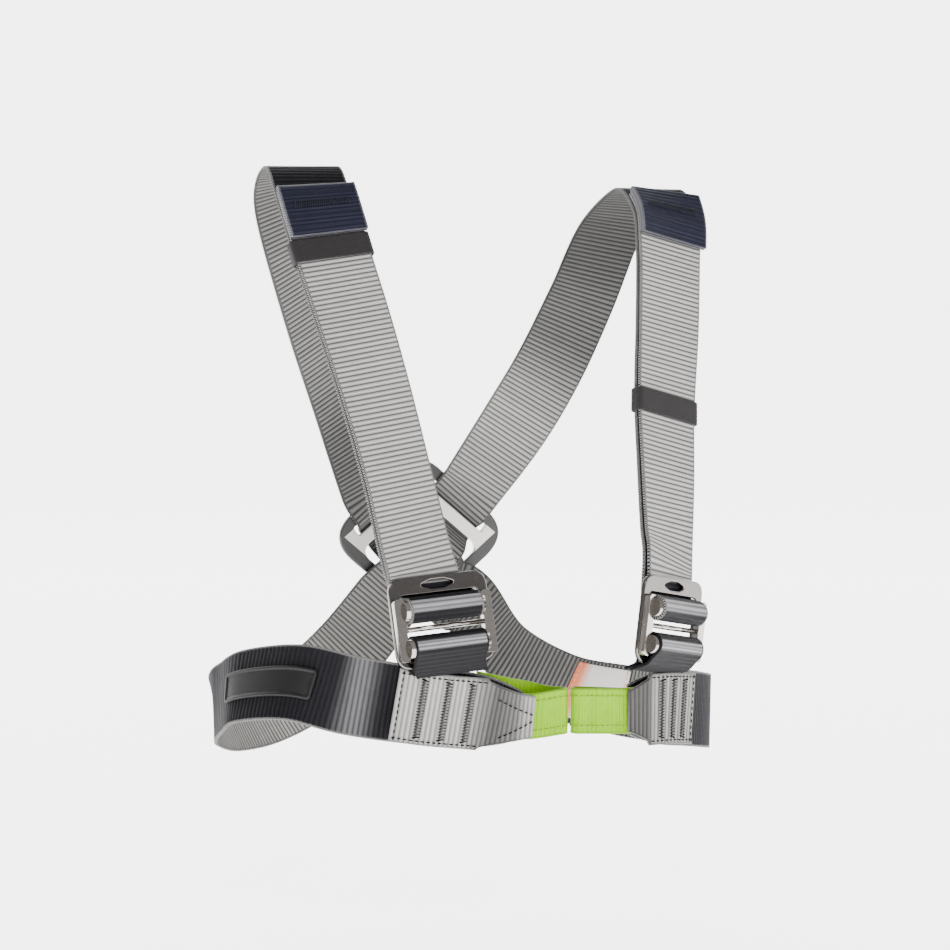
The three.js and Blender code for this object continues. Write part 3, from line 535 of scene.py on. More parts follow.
def tail_frames(path, tail):
    """A strap's free part: round the upper bar, behind the buckle's plate and up along the strap."""
    base = path[0]

    def behind_plate(distance):
        f = frame_at(path, distance)
        off = (f.centre - base.centre).dot(base.out)
        return lifted([f._replace(side=base.side, out=base.out)], TAIL_LIFT + 0.2 - off)[0]

    wrap = roll(base, BAR_UPPER, ROLL_BACK, ROLL_FRONT)
    under = [
        in_buckle(base, BAR_UPPER + ROLL_RADIUS + 0.1, BAR_LIFT - 2.4),
        in_buckle(base, BAR_UPPER + ROLL_RADIUS + 0.5, TAIL_LIFT + 2.2),
        in_buckle(base, BAR_UPPER + ROLL_RADIUS + 2, TAIL_LIFT + 0.3),
        behind_plate(REAR_TOP - 5.5),
        behind_plate(REAR_TOP),
    ]
    return wrap + under + lifted(between(path, REAR_TOP + 6, tail), TAIL_LIFT)


def on_face(path, distance, hand, up, lift):
    f = frame_at(path, distance)
    return f._replace(centre=f.centre + f.side * (hand * up) + f.out * lift, wide=WEB_WIDTH)


def nearest(path, place):
    gaps = [(f.centre - place).length for f in path]
    return distances(path)[gaps.index(min(gaps))]


def buckle_strap_frames(base, band, hand):
    """The short strap from the patch, round the lower bar and back to the band."""
    below = base.centre + up_of(base) * (REAR_BOTTOM - 28)
    distance = nearest(band, below)
    edge = PATCH_WIDTH / 2 + 0.9

    def leg(lift):
        return on_face(band, distance, hand, edge, lift)._replace(side=base.side)

    front = [
        leg(PATCH_LIFT - 0.3),
        in_buckle(base, REAR_BOTTOM - 0.5, LADDER_LIFT + 1.4),
    ]
    back = [
        in_buckle(base, REAR_BOTTOM + 6, LAYER_STEP + 0.6),
        in_buckle(base, REAR_BOTTOM - 1, LAYER_STEP),
        leg(LAYER_STEP + 0.1),
    ]
    return front + roll(base, BAR_LOWER, -62, 184) + back


def patch_frames(path, size):
    """A front patch, flat over the band and narrower over its nose."""
    total = length(path)
    start = total - size["nose"] - size["length"]
    flat = between(path, start, total - size["nose"])
    nose = between(path, total - size["nose"], total - 0.5)[1:]
    steps = distances(nose)
    frames = lifted(flat, PATCH_LIFT, PATCH_WIDTH)
    for f, step in zip(nose, steps):
        share = (step + 3) / (steps[-1] + 3)
        wide = PATCH_WIDTH + (NOSE_WIDTH - PATCH_WIDTH) * share ** 0.7
        frames += lifted([f], PATCH_LIFT, wide)
    return aligned(frames)


BEND_STEPS = 16


def loop_frames(path, hand, opening):
    """A tie-in loop: along the band, forward, round its bend and back under the patch."""
    total = length(path)
    upright = Vector((0, 0, -hand))
    right = hand < 0
    root = frame_at(path, total - LOOP_HOLD)
    leave = frame_at(path, total)
    outer = PATCH_LIFT - WEB_THICK / 2 - 2.6 * LAYER_GAP - LOOP_THICK / 2
    behind = -(WEB_THICK + LOOP_THICK) / 2 - 2 * LAYER_GAP
    inner = behind if right else outer - LOOP_THICK - LAYER_GAP
    radius = opening / 2
    tip = Vector((
        LOOP_MEET + hand * (LAYER_GAP / 2 + LOOP_THICK / 2 + 0.2),
        leave.centre.y - (inner + outer) / 2,
        -TIE_DROP + 2,
    ))

    def arm(f, lift, rise=0.0):
        raised = f._replace(centre=f.centre + f.side * (hand * rise))
        return lifted([raised], lift, LOOP_WIDTH)[0]._replace(side=-f.side)

    bend = []
    for i in range(BEND_STEPS + 1):
        angle = math.radians(-90 + 180 * i / BEND_STEPS)
        shift = Vector((hand * radius * (1 - math.cos(angle)), -radius * math.sin(angle), 0))
        bend.append(Frame(tip + shift, upright, upright, LOOP_WIDTH))

    def middle(a, b, share, bulge):
        centre = a.centre.lerp(b.centre, share) + Vector((0, bulge, 0))
        return Frame(centre, upright, upright, LOOP_WIDTH)

    inner_end = arm(leave, inner, LOOP_RISE if right else 0)
    outer_end = arm(leave, outer)
    held = [arm(root, inner)]
    if right:
        held = [
            arm(frame_at(path, total - LOOP_BACK * share), inner, LOOP_RISE * (1 + 0.45 * share))
            for share in (1, 0.67, 0.33)
        ]
    return [
        *held,
        inner_end,
        middle(inner_end, bend[0], 0.5, radius * 0.12),
        *bend,
        middle(bend[-1], outer_end, 0.5, -radius * 0.12),
        outer_end,
        arm(root, outer),
    ]


class Side:
    """The paths of one side of the harness."""

    def __init__(self, hand):
        right = hand < 0
        self.name = "right" if right else "left"
        self.hand = hand
        self.shoulder = shoulder_path(hand)
        self.band = band_path(hand)
        self.base = self.shoulder[0]
        strap = length(self.shoulder)
        self.tail = strap * (TAIL_SHARE_RIGHT if right else TAIL_SHARE_LEFT)
        self.keeper = self.tail - TAB_LENGTH - 7.5 if right else strap * KEEPER_SHARE_LEFT
        self.badge = length(self.band) * (LABEL_SHARE if right else CARE_SHARE)
        self.size = PATCH_RIGHT if right else PATCH_LEFT
        self.patch = patch_frames(self.band, self.size)
        opening = LOOP_OPEN_RIGHT if right else LOOP_OPEN_LEFT
        self.loop = even(loop_frames(self.band, hand, opening), STEP, LOOP_SOFTEN)


SIDES = (Side(-1), Side(1))


# Meshes
def finished(name, mesh, material, nodes=()):
    """A finished piece at the origin that rides with the harness."""
    mesh.name = name
    piece = bpy.data.objects.new(name, mesh)
    bpy.context.scene.collection.objects.link(piece)
    mesh.materials.clear()
    mesh.materials.append(material)
    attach(piece, "root")
    if nodes:
        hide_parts(*nodes)
    return piece


SELVEDGE_STEPS = ((0.4, 1), (0.9, 1), (1.6, 0))  # distance in from the edge, and 1 on the selvedge
SELVEDGE_ROUND = 0.12
SELVEDGE_FLAT = 0.32


def section(wide, thick):
    """The outline of webbing across its width: across, out, selvedge, inner face and rib."""
    half = wide / 2
    flat = [(-half + step, s) for step, s in SELVEDGE_STEPS]
    flat.append((0, 0))
    flat += [(half - step, s) for step, s in reversed(SELVEDGE_STEPS)]
    points = [(a, thick / 2, s, 0.0, 1.0 - s) for a, s in flat]
    near = half - SELVEDGE_ROUND
    low = thick * SELVEDGE_FLAT
    points += [(near, low, 1, 0.3, 0), (half, 0, 1, 0.5, 0), (near, -low, 1, 0.7, 0)]
    points += [(a, -thick / 2, s, 1.0, 1.0 - s) for a, s in reversed(flat)]
    points += [(-near, -low, 1, 0.7, 0), (-half, 0, 1, 0.5, 0), (-near, low, 1, 0.3, 0)]
    return points


def share_at(table, share):
    """The value of a table of shares and values at one share."""
    for (a, low), (b, high) in zip(table, table[1:]):
        if share <= b:
            t = min(max((share - a) / (b - a), 0), 1)
            return low + (high - low) * t * t * (3 - 2 * t)
    return table[-1][1]


EVEN = ((0, 1), (1, 1))


def ribbon(frames, thick=WEB_THICK, closed=False, flip=False, dark=0.0, tones=EVEN, inner_tones=EVEN):
    """A mesh of webbing along even frames, with what its ribs and its cloth need stored on it.

    flip shows the inner face outside, except over the first part, whose length is dark. The two tables
    give, at shares of the length, the painted light on the outer and the inner face: painted shade
    below 1 and a painted highlight above 1.
    """
    verts, lift, along, selvedge, inner, cloth, tone = [], [], [], [], [], [], []
    sums = distances(frames)
    for f, s in zip(frames, sums):
        painted_levels = (share_at(tones, s / sums[-1]), share_at(inner_tones, s / sums[-1]))
        swap = flip and s > dark
        for across, out, edge, face, rib in section(f.wide, thick):
            verts.append((f.centre + f.side * across + f.out * out) * 0.001)
            lift.append(f.out * (math.copysign(rib, out) if out else 0))
            along.append(s * 0.001)
            selvedge.append(edge)
            inner.append(1 - face if swap else face)
            # Painted light on each vertex: the outer table on the outer face, the inner table on the inner
            # face
            tone.append(painted_levels[0] + (painted_levels[1] - painted_levels[0]) * face)
            cloth.append((s * 0.001, across * 0.001))
    size = len(section(frames[0].wide, thick))
    count = len(frames)
    faces = []
    for i in range(count if closed else count - 1):
        here = i * size
        there = ((i + 1) % count) * size
        for j in range(size):
            k = (j + 1) % size
            faces.append((here + j, here + k, there + k, there + j))
    if not closed:
        faces.append(tuple(range(size))[::-1])
        faces.append(tuple((count - 1) * size + j for j in range(size)))
    mesh = bpy.data.meshes.new("webbing")
    mesh.from_pydata(verts, [], faces)
    mesh.attributes.new("lift", "FLOAT_VECTOR", "POINT").data.foreach_set(
        "vector", [c for v in lift for c in v])
    for name, values in (("along", along), ("selvedge", selvedge), ("inner", inner), ("tone", tone)):
        mesh.attributes.new(name, "FLOAT", "POINT").data.foreach_set("value", values)
    uv = mesh.uv_layers.new(name="cloth")
    coordinates = [c for loop in mesh.loops for c in cloth[loop.vertex_index]]
    uv.data.foreach_set("uv", coordinates)
    outward_facing(mesh)
    mesh.polygons.foreach_set("use_smooth", [True] * len(mesh.polygons))
    return mesh


def outward_facing(mesh):
    bm = bmesh.new()
    bm.from_mesh(mesh)
    bmesh.ops.recalc_face_normals(bm, faces=bm.faces[:])
    bm.to_mesh(mesh)
    bm.free()


def node_of(tree, kind, settings=None, **inputs):
    """Adds a node with its settings and its input values or links."""
    node = tree.nodes.new(kind)
    for key, value in (settings or {}).items():
        setattr(node, key, value)
    for key, value in inputs.items():
        socket = node.inputs[int(key[1:])] if key[1:].isdigit() else node.inputs[key.replace("_", " ")]
        if isinstance(value, bpy.types.NodeSocket):
            tree.links.new(value, socket)
        else:
            socket.default_value = value
    return node


def grouped(name, inputs):
    """A new modifier tree with named inputs, and its input node."""
    tree = bpy.data.node_groups.new(name, "GeometryNodeTree")
    tree.is_modifier = True
    tree.interface.new_socket(name="Geometry", in_out="INPUT", socket_type="NodeSocketGeometry")
    for key, kind in inputs:
        tree.interface.new_socket(name=key, in_out="INPUT", socket_type="NodeSocket" + kind)
    tree.interface.new_socket(name="Geometry", in_out="OUTPUT", socket_type="NodeSocketGeometry")
    return tree, tree.nodes.new("NodeGroupInput").outputs


def closing(tree, geometry, material):
    real = node_of(tree, "GeometryNodeRealizeInstances", Geometry=geometry)
    final = node_of(tree, "GeometryNodeSetMaterial", Geometry=real.outputs[0], Material=material)
    out = tree.nodes.new("NodeGroupOutput")
    tree.links.new(final.outputs[0], out.inputs[0])


def rib_tree():
    """Sinks the grooves between the ribs of webbing."""
    wanted = (("Pitch", "Float"), ("Height", "Float"), ("Material", "Material"))
    tree, given = grouped("Ribbed webbing", wanted)
    along = node_of(tree, "GeometryNodeInputNamedAttribute", {"data_type": "FLOAT"}, Name="along")
    lift = node_of(tree, "GeometryNodeInputNamedAttribute", {"data_type": "FLOAT_VECTOR"}, Name="lift")
    count = maths(tree, "DIVIDE", along.outputs[0], given["Pitch"])
    wave = maths(tree, "SINE", maths(tree, "MULTIPLY", count, math.pi))
    sink = maths(tree, "SUBTRACT", maths(tree, "ABSOLUTE", wave), 1.0)
    deep = maths(tree, "MULTIPLY", sink, given["Height"])
    move = node_of(tree, "ShaderNodeVectorMath", {"operation": "SCALE"}, _0=lift.outputs[0], Scale=deep)
    moved = node_of(tree, "GeometryNodeSetPosition", Geometry=given["Geometry"], Offset=move.outputs[0])
    closing(tree, moved.outputs[0], given["Material"])
    return tree


def stitch_tree():
    """Lays short stitches at even steps along polylines."""
    wanted = (("Step", "Float"), ("Thread", "Float"), ("Material", "Material"))
    tree, given = grouped("Sewn stitches", wanted)
    line = node_of(tree, "GeometryNodeMeshToCurve", Mesh=given["Geometry"])
    spaced = node_of(
        tree, "GeometryNodeResampleCurve", {"mode": "LENGTH"}, Curve=line.outputs[0], Length=given["Step"])
    tangent = tree.nodes.new("GeometryNodeInputTangent")
    turn = node_of(tree, "FunctionNodeAlignRotationToVector", {"axis": "Z"}, Vector=tangent.outputs[0])
    grain = node_of(tree, "GeometryNodeMeshUVSphere", Segments=6, Rings=5, Radius=1.0)
    long = maths(tree, "MULTIPLY", given["Step"], 0.4)
    size = node_of(tree, "ShaderNodeCombineXYZ", X=given["Thread"], Y=given["Thread"], Z=long)
    laid = node_of(
        tree, "GeometryNodeInstanceOnPoints", Points=spaced.outputs[0], Instance=grain.outputs[0],
        Rotation=turn.outputs[0], Scale=size.outputs[0])
    closing(tree, laid.outputs[0], given["Material"])
    return tree


def thread_tree():
    """Sweeps a round thread along polylines."""
    tree, given = grouped("Zigzag thread", (("Thread", "Float"), ("Material", "Material")))
    line = node_of(tree, "GeometryNodeMeshToCurve", Mesh=given["Geometry"])
    ring = node_of(tree, "GeometryNodeCurvePrimitiveCircle", Resolution=5, Radius=given["Thread"])
    swept = node_of(
        tree, "GeometryNodeCurveToMesh", Curve=line.outputs[0], Profile_Curve=ring.outputs[0], Fill_Caps=True)
    closing(tree, swept.outputs[0], given["Material"])
    return tree


def grown(mesh, tree, **inputs):
    """The plain mesh that a modifier tree makes of a mesh."""
    carrier = bpy.data.objects.new("carrier", mesh)
    bpy.context.scene.collection.objects.link(carrier)
    modifier = carrier.modifiers.new("tree", "NODES")
    modifier.node_group = tree
    for item in tree.interface.items_tree:
        key = item.name.lower()
        if item.in_out == "INPUT" and key in inputs:
            modifier[item.identifier] = inputs[key]
    graph = bpy.context.evaluated_depsgraph_get()
    result = bpy.data.meshes.new_from_object(carrier.evaluated_get(graph), depsgraph=graph)
    carrier.modifiers.remove(modifier)
    bpy.data.objects.remove(carrier)
    return result


def webbing_piece(name, frames, material, slot, thick=WEB_THICK, nodes=(), **options):
    """A finished strip of ribbed webbing."""
    settings = bpy.context.scene.harness
    mesh = ribbon(frames, thick, **options)
    tree = bpy.data.node_groups.get("Ribbed webbing") or rib_tree()
    mesh = grown(mesh, tree, pitch=settings.rib_pitch, height=settings.rib_height, material=material)
    return finished(name, mesh, material, nodes)


def polylines(lines):
    verts = []
    edges = []
    for line in lines:
        first = len(verts)
        verts += [p * 0.001 for p in line]
        edges += [(first + i, first + i + 1) for i in range(len(line) - 1)]
    mesh = bpy.data.meshes.new("lines")
    mesh.from_pydata(verts, edges, [])
    return mesh


def stitches(name, lines, material):
    """A piece of single stitches along polylines."""
    settings = bpy.context.scene.harness
    tree = bpy.data.node_groups.get("Sewn stitches") or stitch_tree()
    mesh = grown(polylines(lines), tree, step=settings.stitch, thread=settings.thread, material=material)
    return finished(name, mesh, material)


def threads(name, lines, material, radius=None):
    """A piece of round thread along polylines."""
    settings = bpy.context.scene.harness
    tree = bpy.data.node_groups.get("Zigzag thread") or thread_tree()
    mesh = grown(polylines(lines), tree, thread=radius or settings.thread, material=material)
    return finished(name, mesh, material)


def line_on(frames, sums, start, end, across, lift, count=60):
    points = []
    for i in range(count + 1):
        f = frame_at(frames, start + (end - start) * i / count, sums)
        points.append(f.centre + f.side * across + f.out * lift)
    return points


def across_on(frames, sums, distance, low, high, lift, count=24):
    f = frame_at(frames, distance, sums)
    return [f.centre + f.side * (low + (high - low) * i / count) + f.out * lift for i in range(count + 1)]


def slanted(frames, sums, start, end, lift, count=40):
    """A line over the cloth between two places, each given along and across."""
    points = []
    for i in range(count + 1):
        t = i / count
        f = frame_at(frames, start[0] + (end[0] - start[0]) * t, sums)
        points.append(f.centre + f.side * (start[1] + (end[1] - start[1]) * t) + f.out * lift)
    return points


TACK_WIDE = 4.4
TACK_PITCH = 1.7
TACK_THREAD = 0.00055


def zigzag_across(frames, sums, distance, low, high, lift, wide=TACK_WIDE, pitch=TACK_PITCH):
    """A bar-tack: a dense zigzag from one edge to the other."""
    points = []
    count = round(abs(high - low) / pitch) * 2
    for i in range(count + 1):
        f = frame_at(frames, distance + (wide / 2 if i % 2 else -wide / 2), sums)
        points.append(f.centre + f.side * (low + (high - low) * i / count) + f.out * lift)
    return points


# Materials
def material_of(name):
    material = bpy.data.materials.new(name)
    material.use_nodes = True
    tree = material.node_tree
    tree.nodes.clear()
    shader = tree.nodes.new("ShaderNodeBsdfPrincipled")
    out = tree.nodes.new("ShaderNodeOutputMaterial")
    tree.links.new(shader.outputs[0], out.inputs[0])
    return material, tree, shader


def maths(tree, operation, a, b=0.0, c=0.0):
    return node_of(tree, "ShaderNodeMath", {"operation": operation}, _0=a, _1=b, _2=c).outputs[0]


def noise_of(tree, place, scale, detail):
    node = node_of(tree, "ShaderNodeTexNoise", Vector=place, Scale=scale, Detail=detail)
    return node.outputs[0]


def product(tree, *values):
    result = values[0]
    for value in values[1:]:
        result = maths(tree, "MULTIPLY", result, value)
    return result


def ripple(tree, place, pitch):
    """A sine wave along a coordinate, from -1 to 1."""
    return maths(tree, "SINE", maths(tree, "MULTIPLY", place, 2 * math.pi / pitch))


def ranged(tree, value, reach, low):
    """A value times its reach, on top of a lowest value."""
    return maths(tree, "MULTIPLY_ADD", value, reach, low)


def cloth_place(tree):
    """The place on a strip of cloth: the coordinates together, along and across."""
    uv = node_of(tree, "ShaderNodeUVMap", {"uv_map": "cloth"}).outputs[0]
    parts = node_of(tree, "ShaderNodeSeparateXYZ", _0=uv).outputs
    return uv, parts[0], parts[1]


def attribute_of(tree, name):
    return node_of(tree, "ShaderNodeAttribute", {"attribute_name": name}).outputs["Fac"]


def shaded(tree, colour, shade):
    """A colour made darker by a shade from 0 to 1."""
    tone = node_of(tree, "ShaderNodeCombineXYZ", X=shade, Y=shade, Z=shade).outputs[0]
    return mixed(tree, 1.0, colour, tone, "MULTIPLY")


def bumped(tree, shader, height, strength, depth):
    bump = node_of(tree, "ShaderNodeBump", Strength=strength, Distance=depth, Height=height)
    tree.links.new(bump.outputs[0], shader.inputs["Normal"])


def mixed(tree, factor, a, b, blend="MIX"):
    node = tree.nodes.new("ShaderNodeMix")
    node.data_type = "RGBA"
    node.blend_type = blend
    for socket, value in ((node.inputs[0], factor), (node.inputs[6], a), (node.inputs[7], b)):
        if isinstance(value, bpy.types.NodeSocket):
            tree.links.new(value, socket)
        elif isinstance(value, (int, float)):
            socket.default_value = value
        else:
            socket.default_value = (*value[:3], 1)
    return node.outputs[2]


STRAND_WIDTH = 0.00075
STRAND_LEAN = 0.0024
DOT_LENGTH = 0.0015
DOT_WIDTH = 0.0012
# Grey of the painted highlight that a tone above 1 lays across the cloth
PAINTED_HIGHLIGHT_GREY = "#a8a6a9"


def webbing_material(name, outer, inner, pitch, ribs=1.0, sheen=0.02, rough=0.62, pepper=1.0):
    """Woven polyester webbing: ribs across, two faces, dotted selvedges and fine strands.

    The strands are 0.75 mm apart, which is a little coarser than the real weave, so that they show.
    A tone above 1 mixes a painted highlight into the cloth, and one below 1 paints shade on it.
    """
    material, tree, shader = material_of(name)
    uv, along, across = cloth_place(tree)
    face = attribute_of(tree, "inner")
    edge = attribute_of(tree, "selvedge")
    # The tone attribute holds painted light: painted shade below 1, a painted highlight above 1
    tone = attribute_of(tree, "tone")

    # Ribs on either face, their grooves darkened with painted shade
    rib = maths(tree, "ABSOLUTE", maths(tree, "SINE", maths(tree, "MULTIPLY", along, math.pi / pitch)))
    top = maths(tree, "POWER", rib, 1.3)
    relief = ranged(tree, top, ribs, 1 - ribs)
    outside = mixed(tree, relief, [c * 0.4 for c in outer], outer)
    inside = mixed(tree, relief, [c * 0.12 for c in inner], inner)
    sides = mixed(tree, face, outside, inside)
    # A tone above 1 mixes in the painted highlight, strongest on the rib tops
    painted_highlight = node_of(tree, "ShaderNodeClamp", Value=maths(tree, "SUBTRACT", tone, 1.0)).outputs[0]
    painted_highlight = product(tree, painted_highlight, ranged(tree, top, 0.65, 0.35))
    sides = mixed(tree, painted_highlight, sides, linear(PAINTED_HIGHLIGHT_GREY))

    # Selvedges dotted dark and pale
    dots = product(tree, ripple(tree, along, DOT_LENGTH), ripple(tree, across, DOT_WIDTH))
    dots = maths(tree, "GREATER_THAN", dots, 0.0)
    dotted = mixed(tree, dots, [c * 0.3 for c in outer], [c * 0.6 for c in inner])
    grey = [0.5 * (a + b) for a, b in zip(outer, inner)]
    border = mixed(tree, pepper, mixed(tree, 0.5, grey, dotted), dotted)
    sewn = mixed(tree, edge, sides, border)

    # Slanted strands, clouds, flecks, a tone for each rib, and painted shade where the tone attribute is
    # below 1
    lean = maths(tree, "MULTIPLY", along, 2 * math.pi / STRAND_LEAN)
    strand = maths(tree, "SINE", maths(tree, "MULTIPLY_ADD", across, 2 * math.pi / STRAND_WIDTH, lean))
    cloud = noise_of(tree, uv, 140.0, 3.0)
    fleck = noise_of(tree, uv, 1900.0, 2.0)
    index = maths(tree, "FLOOR", maths(tree, "MULTIPLY", along, 1 / pitch))
    each = node_of(tree, "ShaderNodeTexWhiteNoise", {"noise_dimensions": "1D"}, W=index).outputs[0]
    shade = product(
        tree,
        ranged(tree, strand, 0.07, 0.93),
        maths(tree, "MINIMUM", tone, 1.0),
        ranged(tree, cloud, 0.22, 0.89),
        ranged(tree, fleck, 0.7, 0.65),
        ranged(tree, each, 0.1, 0.95),
    )
    tree.links.new(shaded(tree, sewn, shade), shader.inputs["Base Color"])
    height = maths(tree, "MULTIPLY_ADD", strand, 0.5, maths(tree, "MULTIPLY", fleck, 0.9))
    height = maths(tree, "ADD", height, product(tree, dots, edge, 0.8))
    bumped(tree, shader, height, 0.5, 0.00018)
    tree.links.new(ranged(tree, fleck, 0.15, rough - 0.08), shader.inputs["Roughness"])
    shader.inputs["Sheen Weight"].default_value = sheen
    shader.inputs["Sheen Roughness"].default_value = 0.45
    shader.inputs["Specular IOR Level"].default_value = 0.12
    return material


def twill_material(name, colour, pitch=0.0011, rough=0.75, strength=0.6):
    """Flat woven cloth with a fine diagonal twill."""
    material, tree, shader = material_of(name)
    uv, along, across = cloth_place(tree)
    twill = ripple(tree, maths(tree, "ADD", across, along), pitch)
    weft = ripple(tree, along, pitch * 0.8)
    noise = noise_of(tree, uv, 900.0, 2.0)
    shade = product(tree, ranged(tree, twill, 0.12, 0.86), ranged(tree, noise, 0.3, 0.85))
    tree.links.new(shaded(tree, colour, shade), shader.inputs["Base Color"])
    bumped(tree, shader, maths(tree, "MULTIPLY_ADD", weft, 0.4, twill), strength, 0.00015)
    shader.inputs["Roughness"].default_value = rough
    shader.inputs["Sheen Weight"].default_value = 0.02
    shader.inputs["Specular IOR Level"].default_value = 0.2
    return material


def smooth_material(name, colour, metallic=0.0, rough=0.4, grain=500.0, depth=0.00003, gloss=0.5):
    """Moulded, cast or polished surfaces: fine grain in the gloss and a little in the relief."""
    material, tree, shader = material_of(name)
    place = tree.nodes.new("ShaderNodeTexCoord").outputs["Object"]
    noise = noise_of(tree, place, grain, 4.0)
    broad = noise_of(tree, place, 60.0, 2.0)
    tree.links.new(shaded(tree, colour, ranged(tree, broad, 0.16, 0.92)), shader.inputs["Base Color"])
    tree.links.new(ranged(tree, noise, 0.16, rough - 0.08), shader.inputs["Roughness"])
    bumped(tree, shader, noise, 0.25, depth)
    shader.inputs["Metallic"].default_value = metallic
    shader.inputs["Specular IOR Level"].default_value = gloss
    return material


def plate_material(name):
    """The back plate's steel, dark where the rim runs round it."""
    material, tree, shader = material_of(name)
    place = tree.nodes.new("ShaderNodeTexCoord").outputs["Object"]
    parts = node_of(tree, "ShaderNodeSeparateXYZ", _0=place).outputs
    across = maths(tree, "MULTIPLY", maths(tree, "ABSOLUTE", parts[0]), math.sin(PLATE_SLOPE))
    up = maths(tree, "ABSOLUTE", maths(tree, "ADD", parts[2], PLATE_DROP * 0.001))
    reach = maths(tree, "MULTIPLY_ADD", up, math.cos(PLATE_SLOPE), across)
    edge = (OUTER_TOP * math.cos(PLATE_SLOPE) - RIM_WIDTH - 0.3) * 0.001
    rim = maths(tree, "GREATER_THAN", reach, edge)
    noise = noise_of(tree, place, 900.0, 2.0)
    tree.links.new(mixed(tree, rim, linear("#d2ceca"), linear("#3b3a3a")), shader.inputs["Base Color"])
    tree.links.new(ranged(tree, rim, -0.6, 1.0), shader.inputs["Metallic"])
    tree.links.new(ranged(tree, noise, 0.14, 0.24), shader.inputs["Roughness"])
    return material


def label_material(name):
    """Woven satin, rose at one end and white over the rest."""
    material = twill_material(name, linear("#fbf6f2"), 0.0007, rough=0.55, strength=0.3)
    tree = material.node_tree
    shader = next(node for node in tree.nodes if node.type == "BSDF_PRINCIPLED")
    along = cloth_place(tree)[1]
    end = CARE_LENGTH * 0.0005
    fade = node_of(tree, "ShaderNodeMapRange", _0=along, _1=-end * 0.75, _2=-end * 0.4, _3=1.0, _4=0.0)
    before = shader.inputs["Base Color"].links[0].from_socket
    tree.links.new(mixed(tree, fade.outputs[0], before, linear("#f08a62")), shader.inputs["Base Color"])
    return material


THREAD = {"rough": 0.6, "grain": 2500.0}
SMOOTH_FINISHES = {
    # Rubber: matte, with a slight grain
    "Moulded rubber": ("#121011", {"rough": 0.5, "gloss": 0.35}),
    # Steel of the buckles' rear frames, its colour darkened to paint in a darker reflection than the white
    # stage gives; glossy with a slight haze
    "Gunmetal steel": ("#6f6b69", {"metallic": 1.0, "rough": 0.2, "grain": 900.0, "depth": 0.00001}),
    "Black polyester thread": ("#08080a", {"rough": 0.8, "grain": 2500.0, "gloss": 0.1}),
    "Lime polyester thread": ("#7f9c0c", THREAD),
    "Navy polyester thread": ("#1c1d2a", THREAD),
    "Rose polyester thread": ("#e8a189", THREAD),
}


def finish(name):
    """One of the harness's materials, made when it is first asked for."""
    ready = bpy.data.materials.get(name)
    if ready:
        return ready
    settings = bpy.context.scene.harness
    pitch = settings.rib_pitch
    chosen = (settings.light_web, settings.dark_web, settings.lime_web, settings.navy_web, settings.metal)
    light, dark, lime, navy, metal = (tuple(colour) for colour in chosen)
    if name in SMOOTH_FINISHES:
        code, options = SMOOTH_FINISHES[name]
        return smooth_material(name, linear(code), **options)
    # Two-faced polyester webbing: the dark face outside, the light ribbed face towards the body
    if name == "Ribbed polyester webbing":
        return webbing_material(name, dark, light, pitch)
    # Both faces light, for what shows the inner face of the webbing on both sides
    if name == "Light polyester webbing":
        return webbing_material(name, light, [c * 0.75 for c in light], pitch, pepper=0.6)
    # The buckle's short strap, charcoal; the light band across its roll is a painted highlight from its table
    # of shares
    if name == "Charcoal polyester webbing":
        return webbing_material(name, linear("#1d1c1f"), dark, pitch * 0.6, ribs=0.5)
    # Flat nylon tape, softly shiny, without ribs that show
    if name == "Lime nylon tape":
        return webbing_material(name, lime, [c * 0.8 for c in lime], 0.0016, ribs=0.3, pepper=0.0, rough=0.55)
    if name == "Navy nylon tape":
        return webbing_material(name, navy, linear("#9a9aa2"), 0.0021, ribs=0.75, pepper=0.9, rough=0.5)
    # Knitted elastic: fine diagonal twill, matte
    if name == "Twill elastic":
        return twill_material(name, linear("#2a2829"), 0.0013)
    if name == "Woven satin label":
        return label_material(name)
    # Polished steel: mirror-like with a slight haze
    if name == "Polished steel":
        return smooth_material(name, metal, metallic=1.0, rough=0.16, grain=900.0, depth=0.00001)
    # Steel plate: a dark coated rim round a bright web
    if name == "Rimmed steel":
        return plate_material(name)
    raise ValueError("there is no finish named " + name)


# Outlines
def rounded(corners, radius, count=8):
    """The points of an outline with each corner rounded."""
    points = []
    size = len(corners)
    for i, corner in enumerate(corners):
        here = Vector(corner)
        before = Vector(corners[i - 1]) - here
        after = Vector(corners[(i + 1) % size]) - here
        half = before.angle(after) / 2
        cut = min(radius / math.tan(half), before.length / 2.05, after.length / 2.05)
        start = here + before.normalized() * cut
        end = here + after.normalized() * cut
        for k in range(count + 1):
            t = k / count
            points.append(start * (1 - t) ** 2 + here * (2 * t * (1 - t)) + end * t * t)
    return points


def box(half, bottom, top):
    return [(-half, bottom), (half, bottom), (half, top), (-half, top)]


def bevelled(outlines, thick, bevel, lift):
    """A flat piece with holes and rounded edges in its own frame: x to the side, y up, z out."""
    bm = bmesh.new()
    for outline in outlines:
        ring = [bm.verts.new((p[0], p[1], lift)) for p in outline]
        for i, v in enumerate(ring):
            bm.edges.new((v, ring[(i + 1) % len(ring)]))
    bmesh.ops.remove_doubles(bm, verts=bm.verts[:], dist=1e-4)
    bmesh.ops.triangle_fill(bm, use_beauty=True, edges=bm.edges[:])
    made = bmesh.ops.extrude_face_region(bm, geom=bm.faces[:])
    moved = [g for g in made["geom"] if isinstance(g, bmesh.types.BMVert)]
    bmesh.ops.translate(bm, verts=moved, vec=(0, 0, thick))
    bmesh.ops.recalc_face_normals(bm, faces=bm.faces[:])
    sharp = [e for e in bm.edges if len(e.link_faces) == 2 and e.calc_face_angle() > 1.2]
    rims = [e for e in sharp if abs(e.verts[0].co.z - e.verts[1].co.z) < 1e-6]
    bmesh.ops.bevel(
        bm, geom=rims, offset=bevel, segments=3, profile=0.6, affect="EDGES", clamp_overlap=True)
    for f in bm.faces:
        f.smooth = abs(f.normal.z) < 0.999
    return bm


